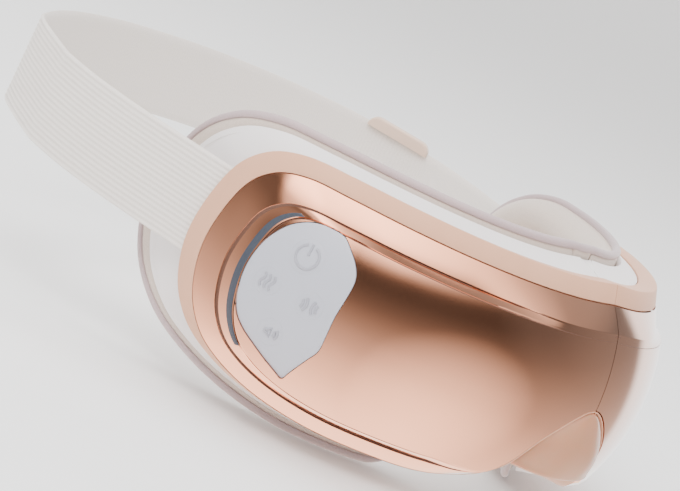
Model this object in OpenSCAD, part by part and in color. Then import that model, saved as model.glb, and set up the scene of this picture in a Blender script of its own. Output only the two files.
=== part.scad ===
// Foldable eye massager: two wrapped half masks on a hinge, soft face pads and a head strap.
// X points to the wearer's left, Y to the back of the head and Z up.
// The origin is on the fold axis, at half the height of the covers.

/* [Mask] */
// Radius of the wrap that the covers' edge follows, seen from above
wrap_r = 106; // [98:1:118]
// Length of one cover along the wrap, from the fold line to the temple
lobe_l = 139; // [132:1:144]
// Height of a cover
cover_h = 68; // [60:1:74]
// How far the main face stands in front of the cover's edge
face_bulge = 10.8; // [9.5:0.1:12]
// Radius of the main face from top to bottom
face_r = 70; // [64:1:90]
// Wall of the covers
cover_t = 1.8; // [1.4:0.1:2.2]
// Half width of the nose notch at the lower edge
nose_half = 38; // [34:1:42]
// Height of the nose notch
nose_h = 36.7; // [32:0.1:40]

/* [Band and groove] */
// Width of the sloping band at the top
band_top = 7; // [6:0.1:9]
// Width of the sloping band at the temple
band_end = 9; // [7:0.1:10]
// Width of the sloping band at the bottom
band_low = 4.4; // [3.5:0.1:6]
// Rise of the sloping band
band_rise = 3; // [2.4:0.1:3.6]
// Depth of the groove inside the band
groove_depth = 1.2; // [0.6:0.1:1.4]
// Width of the groove's slope at the temple
groove_end = 7.5; // [6.5:0.1:8]
// Width of the groove's slope at the top and the bottom
groove_side = 2.6; // [2:0.1:3]

/* [Frame and inner shell] */
// Width of the frame ring in front of the temple
ring_end = 8; // [7:0.1:10]
// Width of the frame ring along the top
ring_top = 6.4; // [5:0.1:7]
// Width of the frame ring along the bottom
ring_low = 0.8; // [0.6:0.1:1.5]
// Depth of the frame ring
ring_d = 9; // [8:0.1:10]
// Depth from the covers' edge to the back of the inner shell
shell_d = 18; // [17:0.1:20]
// Wall of the inner shell
shell_t = 2; // [1.6:0.1:2.4]
// How far the inner shell reaches past the covers at the temple
shell_end = 30; // [27:1:32]
// How far the inner shell stands above the covers
shell_top = 7.4; // [7:0.1:9]
// How far the inner shell hangs below the covers
shell_low = 4; // [3:0.1:4.6]

/* [Face pads] */
// How far the pad's rim reaches past the covers at the temple
pad_end = 36.5; // [34:0.5:38]
// How far the pad's rim stands above the covers
pad_top = 10.2; // [9.6:0.1:12]
// How far the pad's rim hangs below the covers
pad_low = 6.2; // [5.4:0.1:7]
// Thickness of the pad towards the face
pad_t = 12; // [9:0.5:14]
// Width of the pad's raised border
pad_w = 15; // [12:0.5:17]
// Diameter of the piping on the pad's rim
piping_d = 1.8; // [1.4:0.1:2.2]

/* [Fold] */
// Distance of the fold axis behind the covers' top edge
fold_y = 12; // [11:0.5:13]
// Greatest fold angle
fold_max = 70; // [60:1:72]
// Radius of the hinge knuckles
knuckle_r = 2.8; // [2.4:0.1:3]
// Radius of the hinge pin
pin_r = 1.25; // [1:0.05:1.4]
// Number of hinge knuckles
knuckles = 5; // [3:2:7]
// Gap between the two halves at the fold line
seam_gap = 0.3; // [0.2:0.05:0.5]

/* [Control panel] */
// How far the panel's edge reaches over the groove's rim
panel_over = 1.7; // [1.5:0.1:1.9]
// Height of the panel's centre above the origin
panel_z = 1.3; // [0:0.1:2]
// Radius of the panel's domed face
panel_r = 67; // [60:1:75]
// Thickness of the panel and of the keys
panel_t = 1.6; // [1.3:0.1:1.8]
// Radius of the power key
power_r = 5.2; // [4.6:0.1:5.4]
// Radius of the other keys
key_r = 4.2; // [3.8:0.1:4.4]
// Travel of a key
key_travel = 0.4; // [0.3:0.05:0.5]
// Gap round a key and round the panel
key_gap = 0.15; // [0.1:0.05:0.25]

/* [Strap] */
// Width of the elastic strap
strap_w = 30; // [26:1:32]
// Thickness of the elastic strap
strap_t = 1.6; // [1.2:0.1:2]
// Distance from a cover's end to the middle of the strap's slot, along the wrap
slot_out = 6.9; // [6.5:0.1:7.3]
// Height of the strap's middle at the temples, above the origin
strap_z = 9.5; // [8:0.5:11]
// How much higher the strap is behind the head
strap_rise = 11.7; // [0:0.1:14]
// Length of the slider buckle along the strap
buckle_l = 26; // [20:1:28]
// Wall of the slider buckle
buckle_t = 2.8; // [2:0.1:3.2]

/* [Hidden] */
$fn = 48;

// Colours
gold = [0.80, 0.62, 0.54];
peach = [0.87, 0.79, 0.74];
white = [0.90, 0.90, 0.91];
cream = [0.81, 0.78, 0.75];
mauve = [0.81, 0.76, 0.78];
steel = [0.72, 0.73, 0.75];
green = [0.16, 0.42, 0.28];
grey = [0.35, 0.35, 0.37];
light = [0.47, 0.50, 0.55];
tape = [0.87, 0.855, 0.84];
skin_tone = [0.79, 0.66, 0.57];
panel_grey = [0.79, 0.79, 0.82];

half_h = cover_h / 2;
// Clearance between two neighbouring pieces
fit = 0.3;
// Steps in each span of an outline
steps = 2;
// Outline of one cover: place along the wrap and height, as shares of the length and the half height
lobe_points = [
    [0, 1], [0.065, 0.99], [0.13, 0.98], [0.2, 0.975], [0.27, 0.972], [0.36, 0.973],
    [0.48, 0.98], [0.62, 0.995], [0.75, 1.01], [0.85, 1.005], [0.925, 0.9], [0.975, 0.64],
    [1, 0.13], [0.98, -0.3], [0.93, -0.6], [0.86, -0.78], [0.76, -0.91], [0.63, -0.985],
    [0.49, -1]
];
// Outline of the nose notch: shares of its half width and its height, then how much it belongs to the notch
notch_points = [
    [1.3, 0.01, 0], [1, 0.07, 0.3], [0.78, 0.18, 0.75], [0.62, 0.37, 1], [0.41, 0.72, 1], [0, 1, 1]
];
control = concat(
    [for (p = lobe_points) [p[0] * lobe_l, p[1] * half_h, 0]],
    [for (p = notch_points) [p[0] * nose_half, p[1] * nose_h - half_h, p[2]]]
);
spans = len(control) - 1;

function mix(a, b, t) = a + (b - a) * t;
function smooth(t) = let(c = max(0, min(1, t))) c * c * (3 - 2 * c);
function control_at(i) = i < 0 ? let(p = control[1]) [-p[0], p[1], p[2]]
    : i > spans ? let(p = control[spans - 1]) [-p[0], p[1], p[2]] : control[i];
function spline(a, b, c, d, t) = b + t * ((c - a) / 2
    + t * (a - 2.5 * b + 2 * c - d / 2 + t * (-a / 2 + 1.5 * b - 1.5 * c + d / 2)));
outline = concat([for (i = [0:spans - 1]) for (k = [0:steps - 1])
    spline(control_at(i - 1), control_at(i), control_at(i + 1), control_at(i + 2), k / steps)],
    [control[spans]]);
last = len(outline) - 1;

function outward(i) = let(
    a = outline[max(i - 1, 0)], b = outline[min(i + 1, last)],
    t = [b[0] - a[0], b[1] - a[1]] / norm([b[0] - a[0], b[1] - a[1]]))
    i == 0 ? [0, 1] : i == last ? [0, -1] : [-t[1], t[0]];
// An outline outside the covers' edge by one amount at the temple, top, bottom and notch.
// A lean makes the upper temple corner squarer and the lower one rounder.
function layer(end, top, low, notch, lean = 0) = [for (i = [0:last]) let(p = outline[i], s = 1 - p[2],
    share = p[0] / lobe_l, fade = p[1] > 0 && top > 0 ? 1 - 0.3 * pow(share, 4) : 1,
    grow = [end * pow(share, p[1] > 0 ? 4 - lean : 4 + lean), fade * (p[1] > 0 ? top : low) * p[1] / half_h])
    [p[0] + grow[0] * s + outward(i)[0] * notch * p[2],
     p[1] + grow[1] * s + outward(i)[1] * notch * p[2], p[2]]];
// The middle line of an outline, halfway between its top and bottom points
function spine(o, inset) = [for (i = [0:last]) let(a = o[i], b = o[last - i], u = (a[0] + b[0]) / 2)
    [u - inset * pow(u / lobe_l, 3), (a[1] + b[1]) / 2, (a[2] + b[2]) / 2]];
function between(a, b, t) = [for (i = [0:last]) mix(a[i], b[i], t)];

// Height of the main face in front of the wrap; it drops away towards the temple
end_drop = 5.8;
end_start = lobe_l - 59;
end_run = 42;
function face_height(u, z) = face_bulge - z * z / (2 * face_r)
    - end_drop * pow(max(0, u - end_start) / end_run, 2);
function edge_height(p) = p[2] * face_height(p[0], p[1]);
// The groove begins this far from the fold line and is full after its run
groove_start = 22;
groove_run = 40;
function groove_share(p) = smooth((p[0] - groove_start) / groove_run) * (1 - p[2]);

// A point at place u and height z, d behind the wrap; the fold line's flanks open behind the axis
fold_flank = tan(fold_max / 2 + 2.5);
function flank(d) = seam_gap / 2 + max(0, d - fold_y) * fold_flank;
function wrapped(u, z, d) = let(
    start = asin(flank(d) / (wrap_r - d)) * PI / 180 * wrap_r,
    v = start + u * (1 - start / (lobe_l + pad_end)),
    a = v / wrap_r * 180 / PI)
    [(wrap_r - d) * sin(a), wrap_r - (wrap_r - d) * cos(a) - fold_y, z];
function ring_at(o, depth) = [for (i = [0:last]) wrapped(o[i][0], o[i][1], depth[i])];

// Closed skin between an outer and an inner stack of rings; the last ring of each is its middle line
function half_index(i) = min(i, last - i);
function stack_points(rings) = [for (k = [0:len(rings) - 1])
    for (i = [0:(k < len(rings) - 1 ? last : last / 2)]) rings[k][i]];
function stack_size(rings) = (len(rings) - 1) * (last + 1) + last / 2 + 1;
function at(rings, k, i) = k * (last + 1) + (k < len(rings) - 1 ? i : half_index(i));
function quad(a, b, c, d) = a == b ? [[a, c, d]] : c == d ? [[a, b, c]] : [[a, b, c], [a, c, d]];
function stack_faces(rings, base, flip) = [for (k = [0:len(rings) - 2]) for (i = [0:last - 1])
    for (f = quad(at(rings, k, i), at(rings, k, i + 1), at(rings, k + 1, i + 1), at(rings, k + 1, i)))
    flip ? [f[2] + base, f[1] + base, f[0] + base] : [f[0] + base, f[1] + base, f[2] + base]];
function edge_faces(outer, inner, base) = concat(
    [for (i = [0:last - 1]) for (f = quad(i + 1, i, base + i, base + i + 1)) f],
    [for (k = [0:len(outer) - 2]) for (f = quad(at(outer, k, 0), at(outer, k + 1, 0),
        base + at(inner, k + 1, 0), base + at(inner, k, 0))) f],
    [for (k = [0:len(outer) - 2]) for (f = quad(at(outer, k + 1, last), at(outer, k, last),
        base + at(inner, k, last), base + at(inner, k + 1, last))) f]);
module skin(outer, inner) {
    base = stack_size(outer);
    polyhedron(
        points = concat(stack_points(outer), stack_points(inner)),
        faces = concat(stack_faces(outer, 0, false), stack_faces(inner, base, true),
            edge_faces(outer, inner, base)));
}
// Solid swept through a list of closed sections that all have the same number of points
function fan(n) = [for (k = [1:n - 2]) [0, k, k + 1]];
function ladder(n) = [for (k = [0:n / 2 - 2]) for (f = [[k, k + 1, n - 2 - k], [k, n - 2 - k, n - 1 - k]]) f];
module swept(sections, strip = false) {
    n = len(sections[0]);
    m = len(sections);
    end_face = strip ? ladder(n) : fan(n);
    polyhedron(
        points = [for (s = sections) for (p = s) p],
        faces = concat(
            [for (j = [0:m - 2]) for (k = [0:n - 1]) let(a = j * n + k, b = j * n + (k + 1) % n)
                for (f = [[a, b, b + n], [a, b + n, a + n]]) f],
            [for (f = end_face) [f[2], f[1], f[0]]],
            [for (f = end_face) f + (m - 1) * n * [1, 1, 1]]));
}

// Front cover
edge_o = outline;
crease_o = layer(-band_end, -band_top, -band_low, 0);
crease_w = 0.6;
valley_o = layer(-band_end - crease_w, -band_top - crease_w, -band_low - crease_w, 0);
rim_o = layer(-band_end - groove_end, -band_top - groove_side, -band_low - groove_side, 0);
face_spine = spine(outline, lobe_l * 0.22);
band_share = 0.45;
band_swell = 0.7;
cover_outlines = [edge_o, between(edge_o, crease_o, band_share), crease_o, valley_o, rim_o,
    between(rim_o, face_spine, 1 / 3), between(rim_o, face_spine, 2 / 3), face_spine];
function cover_height(k, p) = let(e = edge_height(p), f = face_height(p[0], p[1]), g = groove_share(p),
    c = mix(f, band_rise, g))
    k == 0 ? e : k == 1 ? mix(e, c, band_share) + band_swell * (1 - p[2]) : k == 2 ? c
    : k == 3 ? mix(f, band_rise - groove_depth, g) : f;
cover_outer = [for (k = [0:7]) ring_at(cover_outlines[k], [for (p = cover_outlines[k]) -cover_height(k, p)])];
cover_inner = [for (k = [0:7]) ring_at(cover_outlines[k],
    [for (p = cover_outlines[k]) cover_t - cover_height(k, p)])];
module front_cover() skin(cover_outer, cover_inner);

// Frame ring: it carries the cover's edge and closes the side of the mask
ring_front = layer(ring_end, ring_top, ring_low, 0.9);
ring_back = layer(ring_end - 0.8, ring_top - 0.8, ring_low, 0.9);
ring_step = layer(fit, fit, fit, fit);
ring_lip = layer(-3, -3, -2, -1.4);
function level(o, depth) = [for (p = o) depth - edge_height(p)];
function slope(o, end, side) = [for (p = o)
    mix(side * abs(p[1]) / half_h, end, pow(p[0] / lobe_l, 4)) * (1 - p[2]) - edge_height(p)];
edge_step = 0.2;
seat_depth = [for (p = outline) cover_t + edge_step + fit * p[2] - edge_height(p)];
frame_rings = [
    ring_at(ring_step, level(outline, edge_step)), ring_at(ring_front, slope(outline, 3, 2.6)),
    ring_at(ring_back, level(outline, ring_d)), ring_at(ring_lip, level(outline, ring_d)),
    ring_at(ring_lip, seat_depth), ring_at(ring_step, seat_depth)
];
module frame_ring() swept([for (i = [0:last]) [for (k = [0:5]) frame_rings[k][i]]]);

// Inner shell: a tray behind the frame
shell_front = layer(ring_end - 1.6, ring_top - 1.4, ring_low, 0.9);
shell_lean = 0.8;
shell_rear = layer(shell_end, shell_top, shell_low, 0.9, shell_lean);
shell_brink = layer(shell_end - 2, shell_top - 2, shell_low - 1.6, -0.7, shell_lean);
temple_drop = 4;
function shell_depth(p, d) = d - temple_drop * pow(p[0] / (lobe_l + shell_end), 4);
function rear(o, d) = [for (p = o) shell_depth(p, d)];
shell_spine = spine(shell_brink, lobe_l * 0.2);
plate_shares = [0.25, 0.6];
shell_mid_depth = [for (p = outline) mix(ring_d - edge_height(p), shell_depth(p, shell_d), 0.55)];
shell_outer = [
    ring_at(shell_front, level(outline, ring_d + fit)),
    ring_at(between(shell_front, shell_rear, 0.5), shell_mid_depth),
    ring_at(shell_rear, rear(shell_rear, shell_d - 1.2)),
    ring_at(shell_brink, rear(shell_brink, shell_d)),
    for (t = plate_shares) let(o = between(shell_brink, shell_spine, t)) ring_at(o, rear(o, shell_d)),
    ring_at(shell_spine, rear(shell_spine, shell_d))
];
shell_front_in = layer(ring_end - 1.6 - shell_t, ring_top - 1.4 - shell_t, ring_low - shell_t, 0.9 - shell_t);
shell_rear_in = layer(shell_end - shell_t - 0.4, shell_top - shell_t - 0.4, shell_low - shell_t - 0.2,
    0.9 - shell_t, shell_lean);
shell_brink_in = layer(shell_end - shell_t - 1.6, shell_top - shell_t - 1.6, shell_low - shell_t - 1,
    -shell_t, shell_lean);
shell_inner = [
    ring_at(shell_front_in, level(outline, ring_d + fit)),
    ring_at(between(shell_front_in, shell_rear_in, 0.5), shell_mid_depth),
    ring_at(shell_rear_in, rear(shell_rear_in, shell_d - shell_t - 0.8)),
    ring_at(shell_brink_in, rear(shell_brink_in, shell_d - shell_t)),
    for (t = plate_shares) let(o = between(shell_brink_in, shell_spine, t)) ring_at(o, rear(o, shell_d - shell_t)),
    ring_at(shell_spine, rear(shell_spine, shell_d - shell_t))
];
module shell_tray() skin(shell_inner, shell_outer);

// Face pad: a cushion border on the back of the shell, with its crown towards the face
pad_d = shell_d + 0.4;
function pad_ring(inset, d) = let(
    o = layer(pad_end - inset, pad_top - inset, pad_low - inset, -0.6 * inset, shell_lean)) ring_at(o, rear(o, d));
profile_w = 15;
pad_profile = [
    [8, 0], [1, 0], [0, 0.2], [1.6, 0.62], [5.5, 0.93], [9, 1], [12.5, 0.85], [14.6, 0.5], [15, 0]
];
pad_rings = [for (p = pad_profile) pad_ring(p[0] * pad_w / profile_w, pad_d + p[1] * pad_t)];
module face_pad() swept([for (i = [0:last]) [for (k = [0:len(pad_profile) - 1]) pad_rings[k][i]]]);

// Piping sewn round the pad's rim
piping_sides = 6;
piping_off = piping_d / 2 + 0.25;
piping_o = layer(pad_end + piping_off, pad_top + piping_off, pad_low + piping_off, piping_off, shell_lean);
module piping() swept([for (i = [0:last]) let(r = piping_d / 2)
    [for (k = [0:piping_sides - 1]) let(a = 360 * k / piping_sides,
        p = piping_o[i], n = outward(i))
        wrapped(p[0] + n[0] * r * cos(a), p[1] + n[1] * r * cos(a),
            shell_depth(p, pad_d + 0.2 * pad_t) + r * sin(a))]]);

// Sheets inside the pad's border, domed towards the face: air bag, heating film and lining
dome_rise = 4;
well_o = layer(pad_end - pad_w - 0.6, pad_top - pad_w - 0.6, pad_low - pad_w - 0.6, -0.6 * pad_w - 0.6, shell_lean);
well_spine = spine(well_o, lobe_l * 0.2);
function domed(t, d, rise) = let(o = between(well_o, well_spine, t))
    ring_at(o, [for (p = o) shell_depth(p, d) + rise * sin(90 * t)]);
function sheet(t, d, rise) = [for (k = [0:3]) domed(mix(t, 1, k / 3), d, rise)];
module domed_sheet(t, front, back, front_rise) skin(sheet(t, front, front_rise), sheet(t, back, dome_rise));
bag_t = 3;
film_t = 0.6;
lining_t = 1.4;
sheet_gap = 0.5;
film_d = pad_d + bag_t + sheet_gap;
lining_d = film_d + film_t + sheet_gap;
module airbag() domed_sheet(0.2, pad_d, pad_d + bag_t, 0);
module heating_film() domed_sheet(0.12, film_d, film_d + film_t, dome_rise);
module pad_lining() domed_sheet(0, lining_d, lining_d + lining_t, dome_rise);

module left() children();
module right() mirror([1, 0, 0]) children();

// Place and turn children at a point of the left half: local x runs to the temple, local y inwards
function lobe_angle(u) = u / wrap_r * 180 / PI;
function lobe_point(u, d) = let(a = lobe_angle(u), r = wrap_r - d)
    [r * sin(a), wrap_r - r * cos(a) - fold_y];
module at_lobe(u, z, d) {
    p = lobe_point(u, d);
    translate([p[0], p[1], z]) rotate([0, 0, lobe_angle(u)]) children();
}

// Control panel: a domed plate let into the right cover, with four keys
panel_points = [
    [-7.8, -23.3], [-4.6, -21.9], [-0.6, -20], [3.8, -17.7], [8.3, -15.3], [11.7, -12.7], [13.8, -9.7],
    [15.2, -5.8], [16.2, 0], [16, 5.4], [14.7, 10.8], [12.4, 15.4], [9.2, 19.3], [5, 22], [1.2, 23.1],
    [-3, 23.3], [-6.4, 22.9], [-9.2, 20.8], [-12.2, 18], [-14.4, 15.1], [-15.4, 10.8], [-14.8, 1.4],
    [-14.9, -9], [-14.3, -11.8], [-11.4, -16.8]
];
panel_reach = max([for (p = panel_points) p[0]]);
panel_u = lobe_l - band_end - groove_end - panel_reach + panel_over;
power_at = [0.4, 13];
heat_at = [7.9, 1.2];
massage_at = [-6.8, 0.5];
sound_at = [0.7, -12];
panel_tilt = atan(2 * end_drop * (panel_u - end_start) / pow(end_run, 2));
switch_w = 4.5;
switch_top = 2.6 + panel_t + key_travel;
switch_t = 1.6;
board_t = 1;
board_d = switch_top + switch_t;
module panel_frame() right() at_lobe(panel_u, panel_z, -face_height(panel_u, panel_z))
    rotate([0, 0, panel_tilt]) children();
panel_front = 8;
module panel_prism(grow, deep) rotate([90, 0, 0]) translate([0, 0, -deep]) linear_extrude(deep + panel_front)
    polygon([for (p = panel_points) p * (1 + grow / panel_reach)]);
module dome_shell() difference() {
    translate([0, panel_r, 0]) sphere(panel_r, $fn = 96);
    translate([0, panel_r, 0]) sphere(panel_r - panel_t, $fn = 96);
}
module key_bore(place, r) translate([place[0], -panel_front, place[1]]) rotate([-90, 0, 0])
    cylinder(r = r, h = 2 * panel_front);
module key(place, r) panel_frame() {
    intersection() {
        dome_shell();
        key_bore(place, r);
    }
    translate([place[0], panel_t * 0.7, place[1]]) rotate([-90, 0, 0])
        cylinder(r = 1.2, h = switch_top - key_travel - 0.05 - panel_t * 0.7);
}
module plate() panel_frame() difference() {
    intersection() {
        dome_shell();
        panel_prism(0, 12);
    }
    key_bore(power_at, power_r + key_gap);
    for (p = [heat_at, massage_at, sound_at]) key_bore(p, key_r + key_gap);
}

board_share = 0.82;
module board_outline(t) rotate([-90, 0, 0]) linear_extrude(t)
    polygon([for (p = panel_points) [p[0], -p[1]] * board_share]);
board_posts = [[-9, 11.5], [8.5, 12], [-8, -12], [8.5, -8.5]];
module control_panel() color(panel_grey) {
    plate();
    panel_frame() for (p = board_posts) difference() {
        translate([p[0], panel_t, p[1]]) rotate([-90, 0, 0]) cylinder(r = 1.3, h = board_d - panel_t);
        translate([0, panel_r, 0]) sphere(panel_r - panel_t + 0.01, $fn = 96);
    }
}
module key_board() color(green) panel_frame() translate([0, board_d, 0]) board_outline(board_t);
module key_switches() color(grey) panel_frame() for (p = [power_at, heat_at, massage_at, sound_at])
    translate([p[0] - switch_w / 2, switch_top, p[1] - switch_w / 2]) cube([switch_w, switch_t, switch_w]);

// Light strip on the groove's slope, round the temple side of the panel
light_start = 19;
light_stop = 29;
light_in = 0.57;
light_out = 0.87;
light_lift = 0.12;
light_t = 0.9;
function lifted(i, t, up) = let(o = [for (k = [3, 4]) cover_outlines[k][i]],
    h = [for (k = [3, 4]) cover_height(k, o[k - 3])])
    wrapped(mix(o[0][0], o[1][0], t), mix(o[0][1], o[1][1], t), -mix(h[0], h[1], t) - up);
module light_guide() color(light) right() swept([for (i = [light_start:light_stop]) [
    lifted(i, light_in, light_lift), lifted(i, light_out, light_lift),
    lifted(i, light_out, light_lift + light_t), lifted(i, light_in, light_lift + light_t)]]);

// Hinge: an end wall, knuckles and a flange on each half
hinge_low = 6;
hinge_high = 30;
knuckle_h = (hinge_high - hinge_low) / knuckles;
knuckle_gap = 0.1;
pin_gap = 0.05;
pocket_r = knuckle_r + fit;
sleeve_r = pocket_r + 1.3;
wall_t = 1.3;
wall_top = half_h - 3.6;
wall_low = nose_h - half_h + 2;
flange_x = 14;
flange_t = 1.6;
flange_d = shell_d - shell_t - fit - flange_t;
screw_r = 1;
screw_gap = 0.05;
screw_x = 10;
screw_bore = 10;
screw_z = [hinge_low + 5, hinge_high - 5];
wall_steps = 8;
function wall_front(z) = cover_t + 0.7 - min(face_height(0, z), (half_h - z) * 0.7) - fold_y;
module half_space() linear_extrude(2 * cover_h, center = true) polygon([
    [seam_gap / 2, -cover_h], [seam_gap / 2, 0], [seam_gap / 2 + cover_h * fold_flank, cover_h],
    [2 * cover_h, cover_h], [2 * cover_h, -cover_h]
]);
module end_wall() translate([seam_gap / 2, 0, 0]) rotate([90, 0, 90]) linear_extrude(wall_t) polygon(concat(
    [for (k = [0:wall_steps]) let(z = mix(wall_low, wall_top, k / wall_steps)) [wall_front(z), z]],
    [[0, wall_top], [0, wall_low]]));
module wrap_slab(d, t, size, place) intersection() {
    translate([0, wrap_r - fold_y, place[2]]) difference() {
        cylinder(r = wrap_r - d, h = size[2], $fn = 180);
        translate([0, 0, -1]) cylinder(r = wrap_r - d - t, h = size[2] + 2, $fn = 180);
    }
    translate([place[0], place[1], place[2] - 1]) cube([size[0], size[1], size[2] + 2]);
}
module hinge_leaf(own) difference() {
    union() {
        difference() {
            intersection() {
                union() {
                    end_wall();
                    translate([0, 0, hinge_low - 0.8]) cylinder(r = sleeve_r, h = hinge_high - hinge_low + 1.4);
                    wrap_slab(flange_d, flange_t, [flange_x - 2, 20, hinge_high - hinge_low], [2, -10, hinge_low]);
                }
                half_space();
            }
            for (k = [1 - own:2:knuckles - 1]) translate([0, 0, hinge_low + k * knuckle_h - knuckle_gap])
                cylinder(r = pocket_r, h = knuckle_h + 2 * knuckle_gap);
        }
        for (k = [own:2:knuckles - 1]) translate([0, 0, hinge_low + k * knuckle_h + knuckle_gap])
            cylinder(r = knuckle_r, h = knuckle_h - 2 * knuckle_gap);
    }
    translate([0, 0, hinge_low - 5]) cylinder(r = pin_r + pin_gap, h = hinge_high - hinge_low + 10);
    for (z = screw_z) translate([screw_x, 0, z]) rotate([-90, 0, 0]) cylinder(r = screw_r + screw_gap, h = screw_bore);
}
module hinge_pin() color(steel) {
    translate([0, 0, hinge_low - 1.1]) cylinder(r = pin_r, h = hinge_high - hinge_low + 2.2);
    translate([0, 0, hinge_high + 0.7]) cylinder(r = pin_r + 0.9, h = 0.8);
}
screw_seat = -fold_y + wrap_r - sqrt(pow(wrap_r - flange_d, 2) - screw_x * screw_x) - 0.35;
module hinge_screws() for (z = screw_z) translate([screw_x, screw_seat, z]) rotate([-90, 0, 0]) {
    cylinder(r = screw_r, h = shell_t + flange_t + fit);
    translate([0, 0, -1.4]) cylinder(r = 1.9, h = 1.4);
}

// Screws that hold the frame to the inner shell, in posts inside the shell
post_at = [6, 15, 28];
post_off = 0.9;
post_r = 2;
head_r = 1.8;
head_gap = 0.15;
function post_place(i) = [outline[i][0] + outward(i)[0] * post_off, outline[i][1] + outward(i)[1] * post_off,
    shell_depth(outline[i], shell_d)];
module at_post(i) let(p = post_place(i)) at_lobe(p[0], p[1], 0) rotate([-90, 0, 0]) children();
module shell_screws() for (i = post_at) let(d = post_place(i)[2]) at_post(i) {
    translate([0, 0, 5]) cylinder(r = screw_r - 0.1, h = d - 1 - 5);
    translate([0, 0, d - 1.5]) cylinder(r = head_r, h = 1.3);
}
module post_bores() for (i = post_at) let(d = post_place(i)[2]) at_post(i) {
    translate([0, 0, 4.5]) cylinder(r = screw_r - 0.1 + screw_gap, h = d);
    translate([0, 0, d - 1.6]) cylinder(r = head_r + head_gap, h = 2 * shell_t);
}

// Strap route, seen from above, from the temple to the back of the head. Its lead is fixed to the temple,
// as places along the wrap and inwards from the slot's middle. A sweep joins it to the back of the head.
slot_deep = 5.1;
strap_lead = [[-17.25, 2.2], [-6.75, 0.7], [6.75, -0.7], [22.45, -2.7]];
strap_sweep = [[0.286, 3.1], [0.571, 4.3], [0.837, 2.9]];
strap_back = [[107.3, 145], [93.2, 170.5], [81, 180], [65, 188], [46, 194], [24, 198], [0, 199.2]];
slot_u = lobe_l + slot_out;
slot_a = lobe_angle(slot_u);
lead_points = [for (p = strap_lead) lobe_point(slot_u, slot_deep)
    + [p[0] * cos(slot_a) - p[1] * sin(slot_a), p[0] * sin(slot_a) + p[1] * cos(slot_a)]];
strap_path = concat(lead_points,
    [for (s = strap_sweep) mix(lead_points[3], strap_back[0], s[0]) + [s[1], 0]], strap_back);
path_last = len(strap_path) - 1;
function strap_mid(i) = strap_z
    + strap_rise * (strap_path[i][1] - strap_path[0][1]) / (strap_path[path_last][1] - strap_path[0][1]);
function path_turn(i) = let(a = strap_path[max(i - 1, 0)], b = i == path_last
    ? [-strap_path[i - 1][0], strap_path[i - 1][1]] : strap_path[i + 1], d = (b - a) / norm(b - a)) [d[1], -d[0]];
function strap_ring(i, side) = let(n = path_turn(i) * strap_t / 2, p = strap_path[i], z = strap_mid(i)) [
    [side * (p[0] + n[0]), p[1] + n[1], z - strap_w / 2], [side * (p[0] + n[0]), p[1] + n[1], z + strap_w / 2],
    [side * (p[0] - n[0]), p[1] - n[1], z + strap_w / 2], [side * (p[0] - n[0]), p[1] - n[1], z - strap_w / 2]];
module strap() color(tape) swept(concat([for (i = [0:path_last]) strap_ring(i, 1)],
    [for (i = [path_last - 1:-1:0]) strap_ring(i, -1)]));
slot_gap = 0.45;
slot_l = 32;
slot_mid = (strap_path[1] + strap_path[2]) / 2;
slot_turn = atan2(strap_path[2][0] - strap_path[1][0], strap_path[2][1] - strap_path[1][1]);
module strap_slot() translate([slot_mid[0], slot_mid[1], (strap_mid(1) + strap_mid(2)) / 2]) rotate([0, 0, -slot_turn])
    cube([strap_t + 2 * slot_gap, slot_l, strap_w + 3], center = true);

// Anchor bar that the strap is sewn round
bar_r = 1.5;
bar_reach = 16.6;
bar_at = let(d = (strap_path[1] - strap_path[0]) / norm(strap_path[1] - strap_path[0]))
    strap_path[0] - d * (bar_r + fit);
bar_a = atan2(bar_at[0], wrap_r - fold_y - bar_at[1]);
bar_d = wrap_r - norm([bar_at[0], wrap_r - fold_y - bar_at[1]]);
bar_foot = shell_depth([bar_a * PI / 180 * wrap_r, 0, 0], shell_d - shell_t) - fit - bar_d;
module strap_bar() {
    translate([bar_at[0], bar_at[1], strap_z - bar_reach]) cylinder(r = bar_r, h = 2 * bar_reach);
    for (z = [-bar_reach, bar_reach - 2.4]) translate([bar_at[0], bar_at[1], strap_z + z])
        rotate([0, 0, bar_a]) translate([-bar_r, 0, 0]) cube([2 * bar_r, bar_foot, 2.4]);
}

// Slider on the straight run of the strap
slider_i = 7;
slider_a = strap_path[slider_i];
slider_b = strap_path[slider_i + 1];
slider_mid = (slider_a + slider_b) / 2;
slider_turn = atan2(slider_b[0] - slider_a[0], slider_b[1] - slider_a[1]);
slider_pitch = atan((strap_mid(slider_i + 1) - strap_mid(slider_i)) / norm(slider_b - slider_a));
lip_w = 3;
slider_z = (strap_mid(slider_i) + strap_mid(slider_i + 1)) / 2;
module slider_block(w, h, l) cube([w, l, h], center = true);
module strap_slider() color(peach) translate([slider_mid[0], slider_mid[1], slider_z]) rotate([0, 0, -slider_turn])
    rotate([slider_pitch, 0, 0]) difference() {
        slider_block(strap_t + 2 * fit + 1.2 + buckle_t, strap_w + 2 * fit + 2 * buckle_t, buckle_l);
        slider_block(strap_t + 2 * fit, strap_w + 2 * fit + 0.6, buckle_l + 2);
        translate([-buckle_t, 0, 0]) slider_block(2 * buckle_t, strap_w - 2 * lip_w, buckle_l + 2);
    }

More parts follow.
